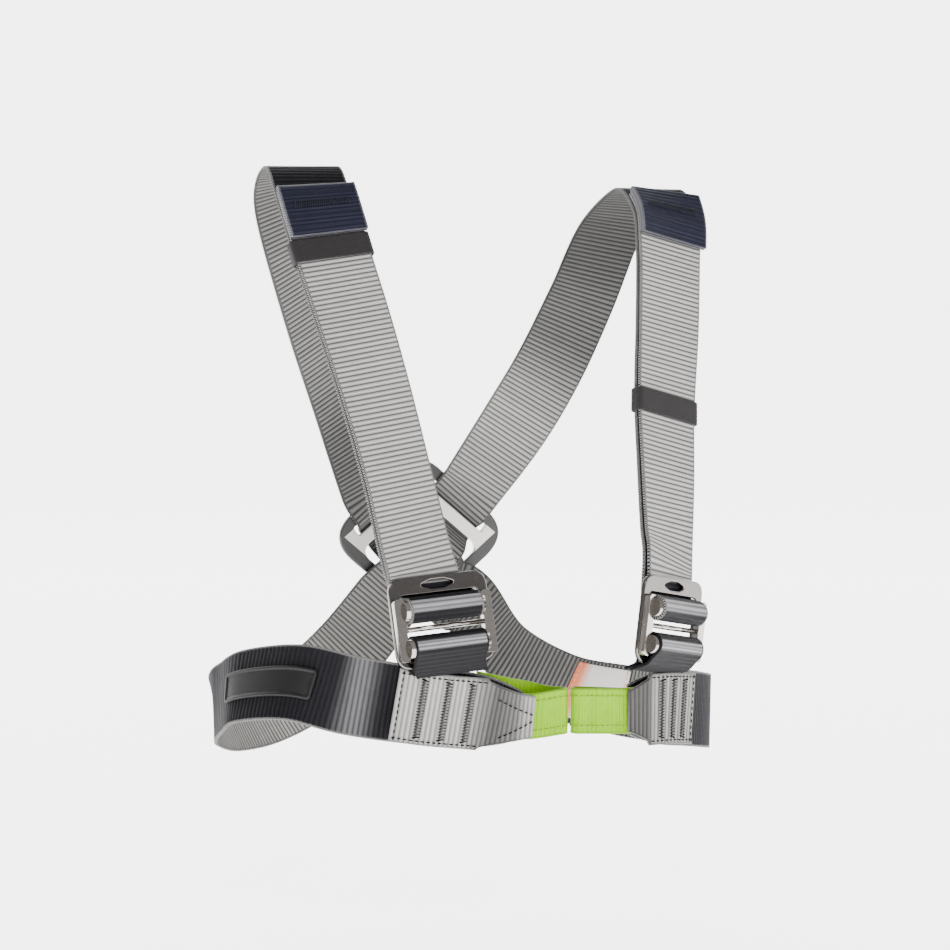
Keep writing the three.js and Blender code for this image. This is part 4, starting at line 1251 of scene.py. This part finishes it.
def bar(bm, radius, half, up, lift, sides=40):
    """A round bar across, added to a mesh."""
    rings = []
    for x in (-half, half):
        ring = []
        for i in range(sides):
            angle = 2 * math.pi * i / sides
            ring.append(bm.verts.new((x, up + radius * math.sin(angle), lift + radius * math.cos(angle))))
        rings.append(ring)
    for i in range(sides):
        k = (i + 1) % sides
        bm.faces.new((rings[0][i], rings[0][k], rings[1][k], rings[1][i])).smooth = True
    bm.faces.new(rings[0][::-1])
    bm.faces.new(rings[1])


def placed(bm, base):
    """Moves a mesh from the buckle's own frame into the harness's, in metres."""
    basis = Matrix((base.side, up_of(base), base.out)).transposed().to_4x4()
    bm.transform(Matrix.Scale(0.001, 4) @ Matrix.Translation(base.centre) @ basis)
    bmesh.ops.recalc_face_normals(bm, faces=bm.faces[:])
    mesh = bpy.data.meshes.new("plate")
    bm.to_mesh(mesh)
    bm.free()
    return mesh


CORNER_STEPS = 6
SIDE_STEPS = 24


def framed(outline, height, place):
    """A low piece on a strap, of rings that step in and up: inset and height of each."""
    half_long, half_high, corner = outline
    rings = []
    for inset, rise in height:
        wide = max(half_long - inset, 0.02)
        high = max(half_high - inset, 0.02)
        turn = max(min(corner - inset, wide, high), 0.01)
        ring = []
        x = wide - turn
        y = high - turn
        centres = ((x, y), (-x, y), (-x, -y), (x, -y))
        for quarter, (cx, cy) in enumerate(centres):
            for k in range(CORNER_STEPS + 1):
                angle = math.radians(90 * quarter + 90 * k / CORNER_STEPS)
                ring.append((cx + turn * math.cos(angle), cy + turn * math.sin(angle)))
            nx, ny = centres[(quarter + 1) % 4]
            angle = math.radians(90 * quarter + 90)
            last = (cx + turn * math.cos(angle), cy + turn * math.sin(angle))
            following = (nx + turn * math.cos(angle), ny + turn * math.sin(angle))
            for k in range(1, SIDE_STEPS):
                ring.append(tuple(last[j] + (following[j] - last[j]) * k / SIDE_STEPS for j in range(2)))
        rings.append([(x, y, rise) for x, y in ring])
    size = len(rings[0])
    verts = [place(*p) * 0.001 for ring in rings for p in ring]
    faces = []
    for i in range(len(rings) - 1):
        for j in range(size):
            k = (j + 1) % size
            faces.append((i * size + j, i * size + k, (i + 1) * size + k, (i + 1) * size + j))
    # Each end is closed with strips across, from the middle of the right side to that of the left
    for end in (0, len(rings) - 1):
        order = [end * size + (j - SIDE_STEPS // 2) % size for j in range(size)]
        for j in range(size // 2):
            strip = (order[j], order[j + 1], order[size - 1 - j], order[-j])
            faces.append(tuple(dict.fromkeys(strip)))
    flat = [p[:2] for ring in rings for p in ring]
    mesh = bpy.data.meshes.new("badge")
    mesh.from_pydata(verts, [], faces)
    uv = mesh.uv_layers.new(name="cloth")
    uv.data.foreach_set("uv", [c * 0.001 for loop in mesh.loops for c in flat[loop.vertex_index]])
    bm = bmesh.new()
    bm.from_mesh(mesh)
    bmesh.ops.remove_doubles(bm, verts=bm.verts[:], dist=1e-6)
    bmesh.ops.recalc_face_normals(bm, faces=bm.faces[:])
    bm.to_mesh(mesh)
    bm.free()
    mesh.polygons.foreach_set("use_smooth", [True] * len(mesh.polygons))
    return mesh


ROLL_LENGTH = math.radians(ROLL_FRONT - ROLL_BACK) * ROLL_RADIUS
TAIL_DARK = ROLL_LENGTH + REAR_PLATE + 5  # from the roll to the top of the buckle's plate

# Shares of a length and the painted light on the cloth there: painted shade below 1, a painted highlight
# above 1
# Painted shade along the inner face of each shoulder strap, from the buckle to the plate
STRAP_PAINTED_SHADE = {
    "right": ((0, 1), (0.5, 0.22), (0.58, 0.32), (0.68, 0.5), (0.78, 0.55), (0.9, 0.25), (1, 0.3)),
    "left": ((0, 1), (0.5, 0.14), (0.62, 0.13), (0.74, 0.26), (0.87, 0.85), (0.94, 0.7), (1, 0.25)),
}
# Painted highlight across the front of the tail's roll round the upper bar; the rest of the roll is a little
# darker
TAIL_PAINTED_LIGHT = ((0, 0.8), (0.052, 0.8), (0.06, 1.8), (0.076, 1.8), (0.084, 0.8), (0.1, 1), (1, 1))
# Painted highlights across the outer face of the right chest band, where it turns
BAND_PAINTED_HIGHLIGHTS = {
    "right": ((0, 1), (0.56, 1), (0.6, 1.15), (0.64, 1), (0.77, 1), (0.8, 1.35), (0.83, 1), (1, 1)),
    "left": ((0, 1), (1, 1)),
}
# Painted shade along the inner face of each chest band
BAND_INNER_PAINTED_SHADE = {
    "right": ((0, 0.3), (0.2, 0.5), (0.35, 0.85), (0.46, 0.6), (0.56, 0.3), (1, 0.5)),
    "left": ((0, 0.16), (0.2, 0.24), (0.35, 0.4), (0.5, 0.45), (1, 0.5)),
}
# Painted shade over each patch's nose
PATCH_PAINTED_SHADE = {
    "right": ((0, 0.85), (0.5, 0.85), (0.6, 0.4), (0.7, 0.2), (0.85, 0.3), (0.95, 0.8), (1, 0.8)),
    "left": ((0, 0.75), (0.65, 0.75), (0.74, 0.2), (1, 0.2)),
}
# Painted highlight across the front of the buckle strap's roll round the lower bar; the rest is a little
# darker
BUCKLE_STRAP_PAINTED_LIGHT = ((0, 0.8), (0.33, 0.8), (0.36, 1.8), (0.42, 1.8), (0.45, 0.8), (1, 0.8))


class HARNESS_OT_straps(bpy.types.Operator):
    """Weave the shoulder straps, their doubled tails and the chest bands"""
    bl_idname = "harness.straps"
    bl_label = "Straps"

    def execute(self, context):
        web = finish("Ribbed polyester webbing")
        for side in SIDES:
            name = "shoulder_strap_" + side.name
            frames = even(strap_frames(side.shoulder), STEP, 1.6)
            # Painted shade on the inner face of the strap
            inner_tones = STRAP_PAINTED_SHADE[side.name]
            webbing_piece(name + "_webbing", frames, web, "webbing", nodes=[name], inner_tones=inner_tones)
            name = "strap_tail_" + side.name
            frames = even(tail_frames(side.shoulder, side.tail), STEP, 1.2)
            webbing_piece(
                name + "_webbing", frames, web, "light_webbing", nodes=[name], flip=True, dark=TAIL_DARK,
                tones=TAIL_PAINTED_LIGHT)
            name = "chest_band_" + side.name
            frames = even(between(side.band, 0, length(side.band) - 5), STEP, 1.6)
            webbing_piece(
                name + "_webbing", frames, web, "webbing", nodes=[name], tones=BAND_PAINTED_HIGHLIGHTS[side.name],
                inner_tones=BAND_INNER_PAINTED_SHADE[side.name])
        return {"FINISHED"}


class HARNESS_OT_sewn(bpy.types.Operator):
    """Make the front patches and the short straps that hold the buckles"""
    bl_idname = "harness.sewn"
    bl_label = "Patches and buckle straps"

    def execute(self, context):
        for side in SIDES:
            name = "front_patch_" + side.name
            frames = even(side.patch, STEP)
            material = finish("Light polyester webbing")
            webbing_piece(
                name + "_webbing", frames, material, "light_webbing", nodes=[name],
                tones=PATCH_PAINTED_SHADE[side.name])
            name = "buckle_strap_" + side.name
            frames = even(buckle_strap_frames(side.base, side.band, side.hand), STEP, 1.2)
            material = finish("Charcoal polyester webbing")
            webbing_piece(
                name + "_webbing", frames, material, "webbing", nodes=[name], thick=WEB_THICK - 0.2,
                tones=BUCKLE_STRAP_PAINTED_LIGHT)
        return {"FINISHED"}


def tab_frames(side):
    """The folded end of a tail: up along the strap, over and down again."""
    lift = TAIL_LIFT + WEB_THICK / 2 + 3 * LAYER_GAP + TAB_THICK / 2
    path = lifted(between(side.shoulder, side.tail - TAB_LENGTH, side.tail + 0.5), lift, TAB_WIDTH)
    return even(path, STEP)


class HARNESS_OT_tabs(bpy.types.Operator):
    """Fold the stopper tabs at the ends of the tails"""
    bl_idname = "harness.tabs"
    bl_label = "Stopper tabs"

    def execute(self, context):
        for side in SIDES:
            name = "stopper_tab_" + side.name
            frames = tab_frames(side)
            layer = TAB_THICK / 2 - 0.1
            apart = layer / 2 + 0.05
            low = lifted(frames, -apart)
            high = lifted(frames, apart)
            folded = even(aligned(low + high[::-1]), STEP, 0.6)
            navy = finish("Navy nylon tape")
            webbing_piece(name + "_tape", folded, navy, "navy_cloth", layer, [name], flip=True)
            sums = distances(frames)
            rise = TAB_THICK / 2 + 0.1
            half = TAB_WIDTH / 2 - TAB_TACK_EDGE
            place = sums[-1] * TAB_TACK_SHARE
            tack = zigzag_across(frames, sums, place, -half, half, rise, TAB_TACK_WIDE, TAB_TACK_PITCH)
            threads(name + "_bar_tacks", [tack], finish("Navy polyester thread"))
        return {"FINISHED"}


class HARNESS_OT_keepers(bpy.types.Operator):
    """Make the elastic rings round the doubled straps"""
    bl_idname = "harness.keepers"
    bl_label = "Elastic keepers"

    def execute(self, context):
        for side in SIDES:
            name = "elastic_keeper_" + side.name
            f = frame_at(side.shoulder, side.keeper)
            centre = f.centre + f.out * (TAIL_LIFT / 2)
            up = f.out.cross(f.side).normalized()
            half = WEB_WIDTH / 2 + KEEPER_EASE + KEEPER_THICK / 2
            deep = (TAIL_LIFT + WEB_THICK + 1) / 2 + KEEPER_THICK / 2
            ring = rounded(box(half, -deep, deep), KEEPER_CORNER)
            loop = [Frame(centre + f.side * p[0] + f.out * p[1], f.out, up, KEEPER_HEIGHT) for p in ring]
            loop.append(loop[0])
            loop = even(loop, 1.0, closed=True)
            count = len(loop)
            turned = []
            for i, g in enumerate(loop):
                ahead = loop[(i + 1) % count].centre - loop[i - 1].centre
                turned.append(g._replace(out=g.side.cross(ahead).normalized()))
            mesh = ribbon(turned, KEEPER_THICK, closed=True)
            finished(name + "_band", mesh, finish("Twill elastic"), [name])
        return {"FINISHED"}


class HARNESS_OT_loops(bpy.types.Operator):
    """Bend the two lime tie-in loops and sew their edges"""
    bl_idname = "harness.loops"
    bl_label = "Tie-in loops"

    def execute(self, context):
        for side in SIDES:
            name = "tie_in_loop_" + side.name
            lime = finish("Lime nylon tape")
            webbing_piece(name + "_tape", side.loop, lime, "lime_webbing", LOOP_THICK, [name])
            sums = distances(side.loop)
            end = sums[-1] - LOOP_SEAM_START
            seam = LOOP_WIDTH / 2 - LOOP_SEAM
            lines = [
                line_on(side.loop, sums, LOOP_SEAM_START, end, across, LOOP_THICK / 2 + 0.1, 120)
                for across in (-seam, seam)
            ]
            stitches(name + "_stitches", lines, finish("Lime polyester thread"))
        return {"FINISHED"}


# Shares of a patch's length where its bar-tacks are
TACK_SHARES = {"right": (0.3, 0.58, 0.86), "left": (0.3, 0.56, 0.82)}
TACK_EDGE = 4
# The right nose's slanted seams: how far back each starts, where across, and where across it ends
NOSE_SEAMS = ((24, -9, -1.5), (20, 12, 3))
NOSE_SEAM_END = 2


class HARNESS_OT_stitching(bpy.types.Operator):
    """Sew the patches with border stitches and bar-tacks"""
    bl_idname = "harness.stitching"
    bl_label = "Patch stitching"

    def execute(self, context):
        black = finish("Black polyester thread")
        for side in SIDES:
            frames = side.patch
            sums = distances(frames)
            rise = WEB_THICK / 2 + 0.25
            half = PATCH_WIDTH / 2
            reach = half - TACK_EDGE
            bars = [
                zigzag_across(frames, sums, side.size["length"] * share, -reach, reach, rise)
                for share in TACK_SHARES[side.name]
            ]
            threads("patch_bar_tacks_" + side.name, bars, black, TACK_THREAD)
            edge = half - PATCH_SEAM
            lines = [
                across_on(frames, sums, PATCH_SEAM_START, -edge, edge, rise),
                line_on(frames, sums, PATCH_SEAM_START, side.size["length"], -edge, rise),
                line_on(frames, sums, PATCH_SEAM_START, side.size["length"], edge, rise),
            ]
            if side.hand < 0:
                tip = sums[-1]
                for back, start, end in NOSE_SEAMS:
                    lines.append(slanted(frames, sums, (tip - back, start), (tip - NOSE_SEAM_END, end), rise))
            stitches("patch_stitches_" + side.name, lines, black)
        return {"FINISHED"}


# Inset and height of each ring of a label: a raised rim round a lower field, and a cloth's rounded edge
LABEL_STEPS = ((0, 0), (0, 0.9), (0.35, 1.45), (0.9, 1.6), (1.6, 1.5), (2.1, 1.0), (2.6, 0.9), (3.2, 0.9))
CARE_STEPS = ((0, 0), (0.1, 0.4), (0.5, 0.5), (1.5, 0.5))


class HARNESS_OT_labels(bpy.types.Operator):
    """Mould the bare label and sew in the care label"""
    bl_idname = "harness.labels"
    bl_label = "Labels"

    def execute(self, context):
        right, left = SIDES
        outside = WEB_THICK / 2 + LAYER_GAP
        sums = distances(right.band)

        def on_right(x, y, z):
            f = frame_at(right.band, right.badge + x, sums)
            return f.centre + f.side * y + f.out * (outside + 0.2 + z)

        mesh = framed((LABEL_LENGTH / 2, LABEL_HEIGHT / 2, LABEL_CORNER), LABEL_STEPS, on_right)
        finished("bare_label_moulding", mesh, finish("Moulded rubber"), ["bare_label"])
        sums_left = distances(left.band)

        def on_left(x, y, z):
            f = frame_at(left.band, left.badge + x, sums_left)
            return f.centre + f.side * y - f.out * (outside + z)

        mesh = framed((CARE_LENGTH / 2, CARE_HEIGHT / 2, CARE_CORNER), CARE_STEPS, on_left)
        finished("care_label_cloth", mesh, finish("Woven satin label"), ["care_label"])
        half = CARE_HEIGHT / 2 - CARE_SEAM
        end = CARE_LENGTH / 2 - CARE_SEAM
        lines = [[on_left(x, half * (i / 15 - 1), 0.7) for i in range(31)] for x in (-end, end)]
        stitches("care_label_stitches", lines, finish("Rose polyester thread"))
        return {"FINISHED"}


class HARNESS_OT_plate(bpy.types.Operator):
    """Cut the back plate with its two slots and its lower opening"""
    bl_idname = "harness.plate"
    bl_label = "Back plate"

    def execute(self, context):
        def rhombus(top):
            return [(0, -top), (top / SLOPE, 0), (0, top), (-top / SLOPE, 0)]

        outlines = [rounded(rhombus(OUTER_TOP), PLATE_CORNER, 16)]
        for hand in (1, -1):
            along = Vector((hand * math.cos(PLATE_SLOPE), -math.sin(PLATE_SLOPE)))
            down = Vector((-hand * math.sin(PLATE_SLOPE), -math.cos(PLATE_SLOPE)))
            top = Vector((hand * SLOT_OFF_CENTRE, LEG_TOP - SLOT_OFF_CENTRE * SLOPE))
            middle = top - down * (SLOT_WIDTH / 2)
            corners = [
                middle + along * (a * SLOT_LENGTH / 2) + down * (b * SLOT_WIDTH / 2)
                for a, b in ((-1, -1), (1, -1), (1, 1), (-1, 1))
            ]
            outlines.append(rounded(corners, SLOT_CORNER))
        meet = (LEG_BOTTOM + SLOT_TOP) / (2 * SLOPE)
        middle = (LEG_BOTTOM - SLOT_TOP) / 2
        opening = [(0, -SLOT_TOP), (meet, middle), (0, LEG_BOTTOM), (-meet, middle)]
        outlines.append(rounded(opening, OPENING_CORNER))
        bm = bevelled(outlines, PLATE_THICK, PLATE_BEVEL, -PLATE_THICK / 2)
        base = Frame(Vector((0, CHEST_BACK, -PLATE_DROP)), Vector((0, 1, 0)), Vector((-1, 0, 0)), 0)
        mesh = placed(bm, base)
        finished("back_plate_steel", mesh, finish("Rimmed steel"), ["back_plate"])
        return {"FINISHED"}


class HARNESS_OT_buckles(bpy.types.Operator):
    """Forge the two frames of each buckle"""
    bl_idname = "harness.buckles"
    bl_label = "Buckles"

    def execute(self, context):
        steel = finish("Polished steel")
        for side in SIDES:
            middle = REAR_TOP - REAR_PLATE / 2
            lens = [
                (-LENS_LENGTH / 2, middle),
                (-LENS_LENGTH / 6, middle - LENS_HEIGHT / 2),
                (LENS_LENGTH / 6, middle - LENS_HEIGHT / 2),
                (LENS_LENGTH / 2, middle),
                (LENS_LENGTH / 6, middle + LENS_HEIGHT / 2),
                (-LENS_LENGTH / 6, middle + LENS_HEIGHT / 2),
            ]
            throat = box(BUCKLE_THROAT / 2 + THROAT_EASE, REAR_BOTTOM + REAR_FOOT, REAR_TOP - REAR_PLATE)
            outlines = [
                rounded(box(BUCKLE_WIDTH / 2, REAR_BOTTOM, REAR_TOP), REAR_CORNER, 12),
                rounded(throat, THROAT_CORNER),
                rounded(lens, LENS_CORNER, 5),
            ]
            mesh = placed(bevelled(outlines, REAR_THICK, REAR_BEVEL, REAR_LIFT), side.base)
            name = "buckle_rear_frame_" + side.name
            finished(name + "_steel", mesh, finish("Gunmetal steel"), [name])
            half = BUCKLE_THROAT / 2
            edge = BUCKLE_WIDTH / 2 - CHEEK_INSET
            bm = bmesh.new()
            for hand in (-1, 1):
                top = LADDER_REACH + 0.5
                corners = [(half, -LADDER_REACH), (half, top), (edge, top), (edge, -LADDER_REACH)]
                outline = rounded([(hand * x, y) for x, y in corners], CHEEK_CORNER, 8)
                part = bevelled([outline], LADDER_THICK, CHEEK_BEVEL, LADDER_LIFT)
                scrap = bpy.data.meshes.new("cheek")
                part.to_mesh(scrap)
                part.free()
                bm.from_mesh(scrap)
                bpy.data.meshes.remove(scrap)
            for up in (BAR_UPPER, BAR_LOWER):
                bar(bm, BAR_DIAMETER / 2, half + BAR_HOLD, up, BAR_LIFT)
            bar(bm, CENTRE_BAR / 2, half + CENTRE_BAR_HOLD, CENTRE_BAR_UP, LADDER_LIFT + LADDER_THICK / 2)
            name = "buckle_ladder_" + side.name
            finished(name + "_steel", placed(bm, side.base), steel, [name])
        return {"FINISHED"}


# In metres and watts: name, place, size and power of each lamp
LAMPS = (
    ("key", (-1.0, -1.8, 1.3), 0.9, 26),
    ("fill", (1.5, -1.3, 0.6), 1.0, 8),
    ("back", (0.4, 1.6, 1.3), 1.4, 10),
)
FLOOR_DROP = 0.44
FLOOR_BEND = 1.6
FLOOR_START = -6
FLOOR_BACK = 2.4
FLOOR_SIDE = 8
FLOOR_TOP = 5.0
LAMP_AIM = (0, 0, -0.18)
VIEW_AZIMUTH = math.radians(-26)
VIEW_ELEVATION = math.radians(3)
VIEW_TARGET = (-0.0131, -0.004, -0.1788)
VIEW_DISTANCE = 2.0
VIEW_LENS = 127.33


class HARNESS_OT_stage(bpy.types.Operator):
    """Set up the pale floor, the soft lights and the camera"""
    bl_idname = "harness.stage"
    bl_label = "Stage"

    def execute(self, context):
        scene = context.scene
        material, _, shader = material_of("Pale paper")
        shader.inputs["Base Color"].default_value = (0.9, 0.9, 0.9, 1)
        shader.inputs["Roughness"].default_value = 0.9
        shader.inputs["Emission Color"].default_value = (1, 1, 1, 1)
        shader.inputs["Emission Strength"].default_value = 3.6
        verts = []
        turns = [math.radians(angle) for angle in range(0, 91, 6)]
        bend = [(FLOOR_BACK + FLOOR_BEND * math.sin(a), FLOOR_BEND - FLOOR_BEND * math.cos(a)) for a in turns]
        profile = [(FLOOR_START, 0.0), *bend, (FLOOR_BACK + FLOOR_BEND, FLOOR_TOP)]
        for y, z in profile:
            verts += [(-FLOOR_SIDE, y, z - FLOOR_DROP), (FLOOR_SIDE, y, z - FLOOR_DROP)]
        faces = [(2 * i, 2 * i + 1, 2 * i + 3, 2 * i + 2) for i in range(len(profile) - 1)]
        mesh = bpy.data.meshes.new("floor")
        mesh.from_pydata(verts, [], faces)
        mesh.polygons.foreach_set("use_smooth", [True] * len(mesh.polygons))
        mesh.transform(Matrix.Rotation(VIEW_AZIMUTH, 4, "Z"))
        mesh.materials.append(material)
        floor = bpy.data.objects.new("floor", mesh)
        scene.collection.objects.link(floor)
        world = bpy.data.worlds.new("Studio")
        world.use_nodes = True
        background = world.node_tree.nodes["Background"]
        background.inputs[0].default_value = (1, 1, 1, 1)
        background.inputs[1].default_value = 0.45
        scene.world = world
        for name, place, size, power in LAMPS:
            data = bpy.data.lights.new(name, "AREA")
            data.shape = "SQUARE"
            data.size = size
            data.energy = power
            lamp = bpy.data.objects.new(name, data)
            scene.collection.objects.link(lamp)
            lamp.location = place
            aim = Vector(LAMP_AIM) - Vector(place)
            lamp.rotation_euler = aim.to_track_quat("-Z", "Y").to_euler()
        data = bpy.data.cameras.new("camera")
        data.lens = VIEW_LENS
        data.sensor_width = 36
        camera = bpy.data.objects.new("camera", data)
        scene.collection.objects.link(camera)
        level = Vector((math.sin(VIEW_AZIMUTH), -math.cos(VIEW_AZIMUTH), 0))
        back = level * math.cos(VIEW_ELEVATION) + Vector((0, 0, math.sin(VIEW_ELEVATION)))
        camera.location = Vector(VIEW_TARGET) + back * VIEW_DISTANCE
        camera.rotation_euler = (-back).to_track_quat("-Z", "Y").to_euler()
        scene.camera = camera
        return {"FINISHED"}


class HARNESS_PT_panel(bpy.types.Panel):
    """The harness's sizes, colours and pieces"""
    bl_idname = "HARNESS_PT_panel"
    bl_label = "Chest harness"
    bl_space_type = "VIEW_3D"
    bl_region_type = "UI"
    bl_category = "Harness"

    def draw(self, context):
        settings = context.scene.harness
        for name in HarnessSettings.__annotations__:
            self.layout.prop(settings, name)
        for operator in OPERATORS:
            self.layout.operator(operator.bl_idname)


OPERATORS = (
    HARNESS_OT_straps,
    HARNESS_OT_sewn,
    HARNESS_OT_tabs,
    HARNESS_OT_keepers,
    HARNESS_OT_loops,
    HARNESS_OT_stitching,
    HARNESS_OT_labels,
    HARNESS_OT_plate,
    HARNESS_OT_buckles,
    HARNESS_OT_stage,
)


def register():
    bpy.utils.register_class(HarnessSettings)
    for cls in (*OPERATORS, HARNESS_PT_panel):
        bpy.utils.register_class(cls)
    bpy.types.Scene.harness = PointerProperty(type=HarnessSettings)


def unregister():
    del bpy.types.Scene.harness
    for cls in (HARNESS_PT_panel, *reversed(OPERATORS)):
        bpy.utils.unregister_class(cls)
    bpy.utils.unregister_class(HarnessSettings)


def main():
    register()
    for operator in OPERATORS:
        group, name = operator.bl_idname.split(".")
        getattr(getattr(bpy.ops, group), name)()


if __name__ == "__main__":
    main()
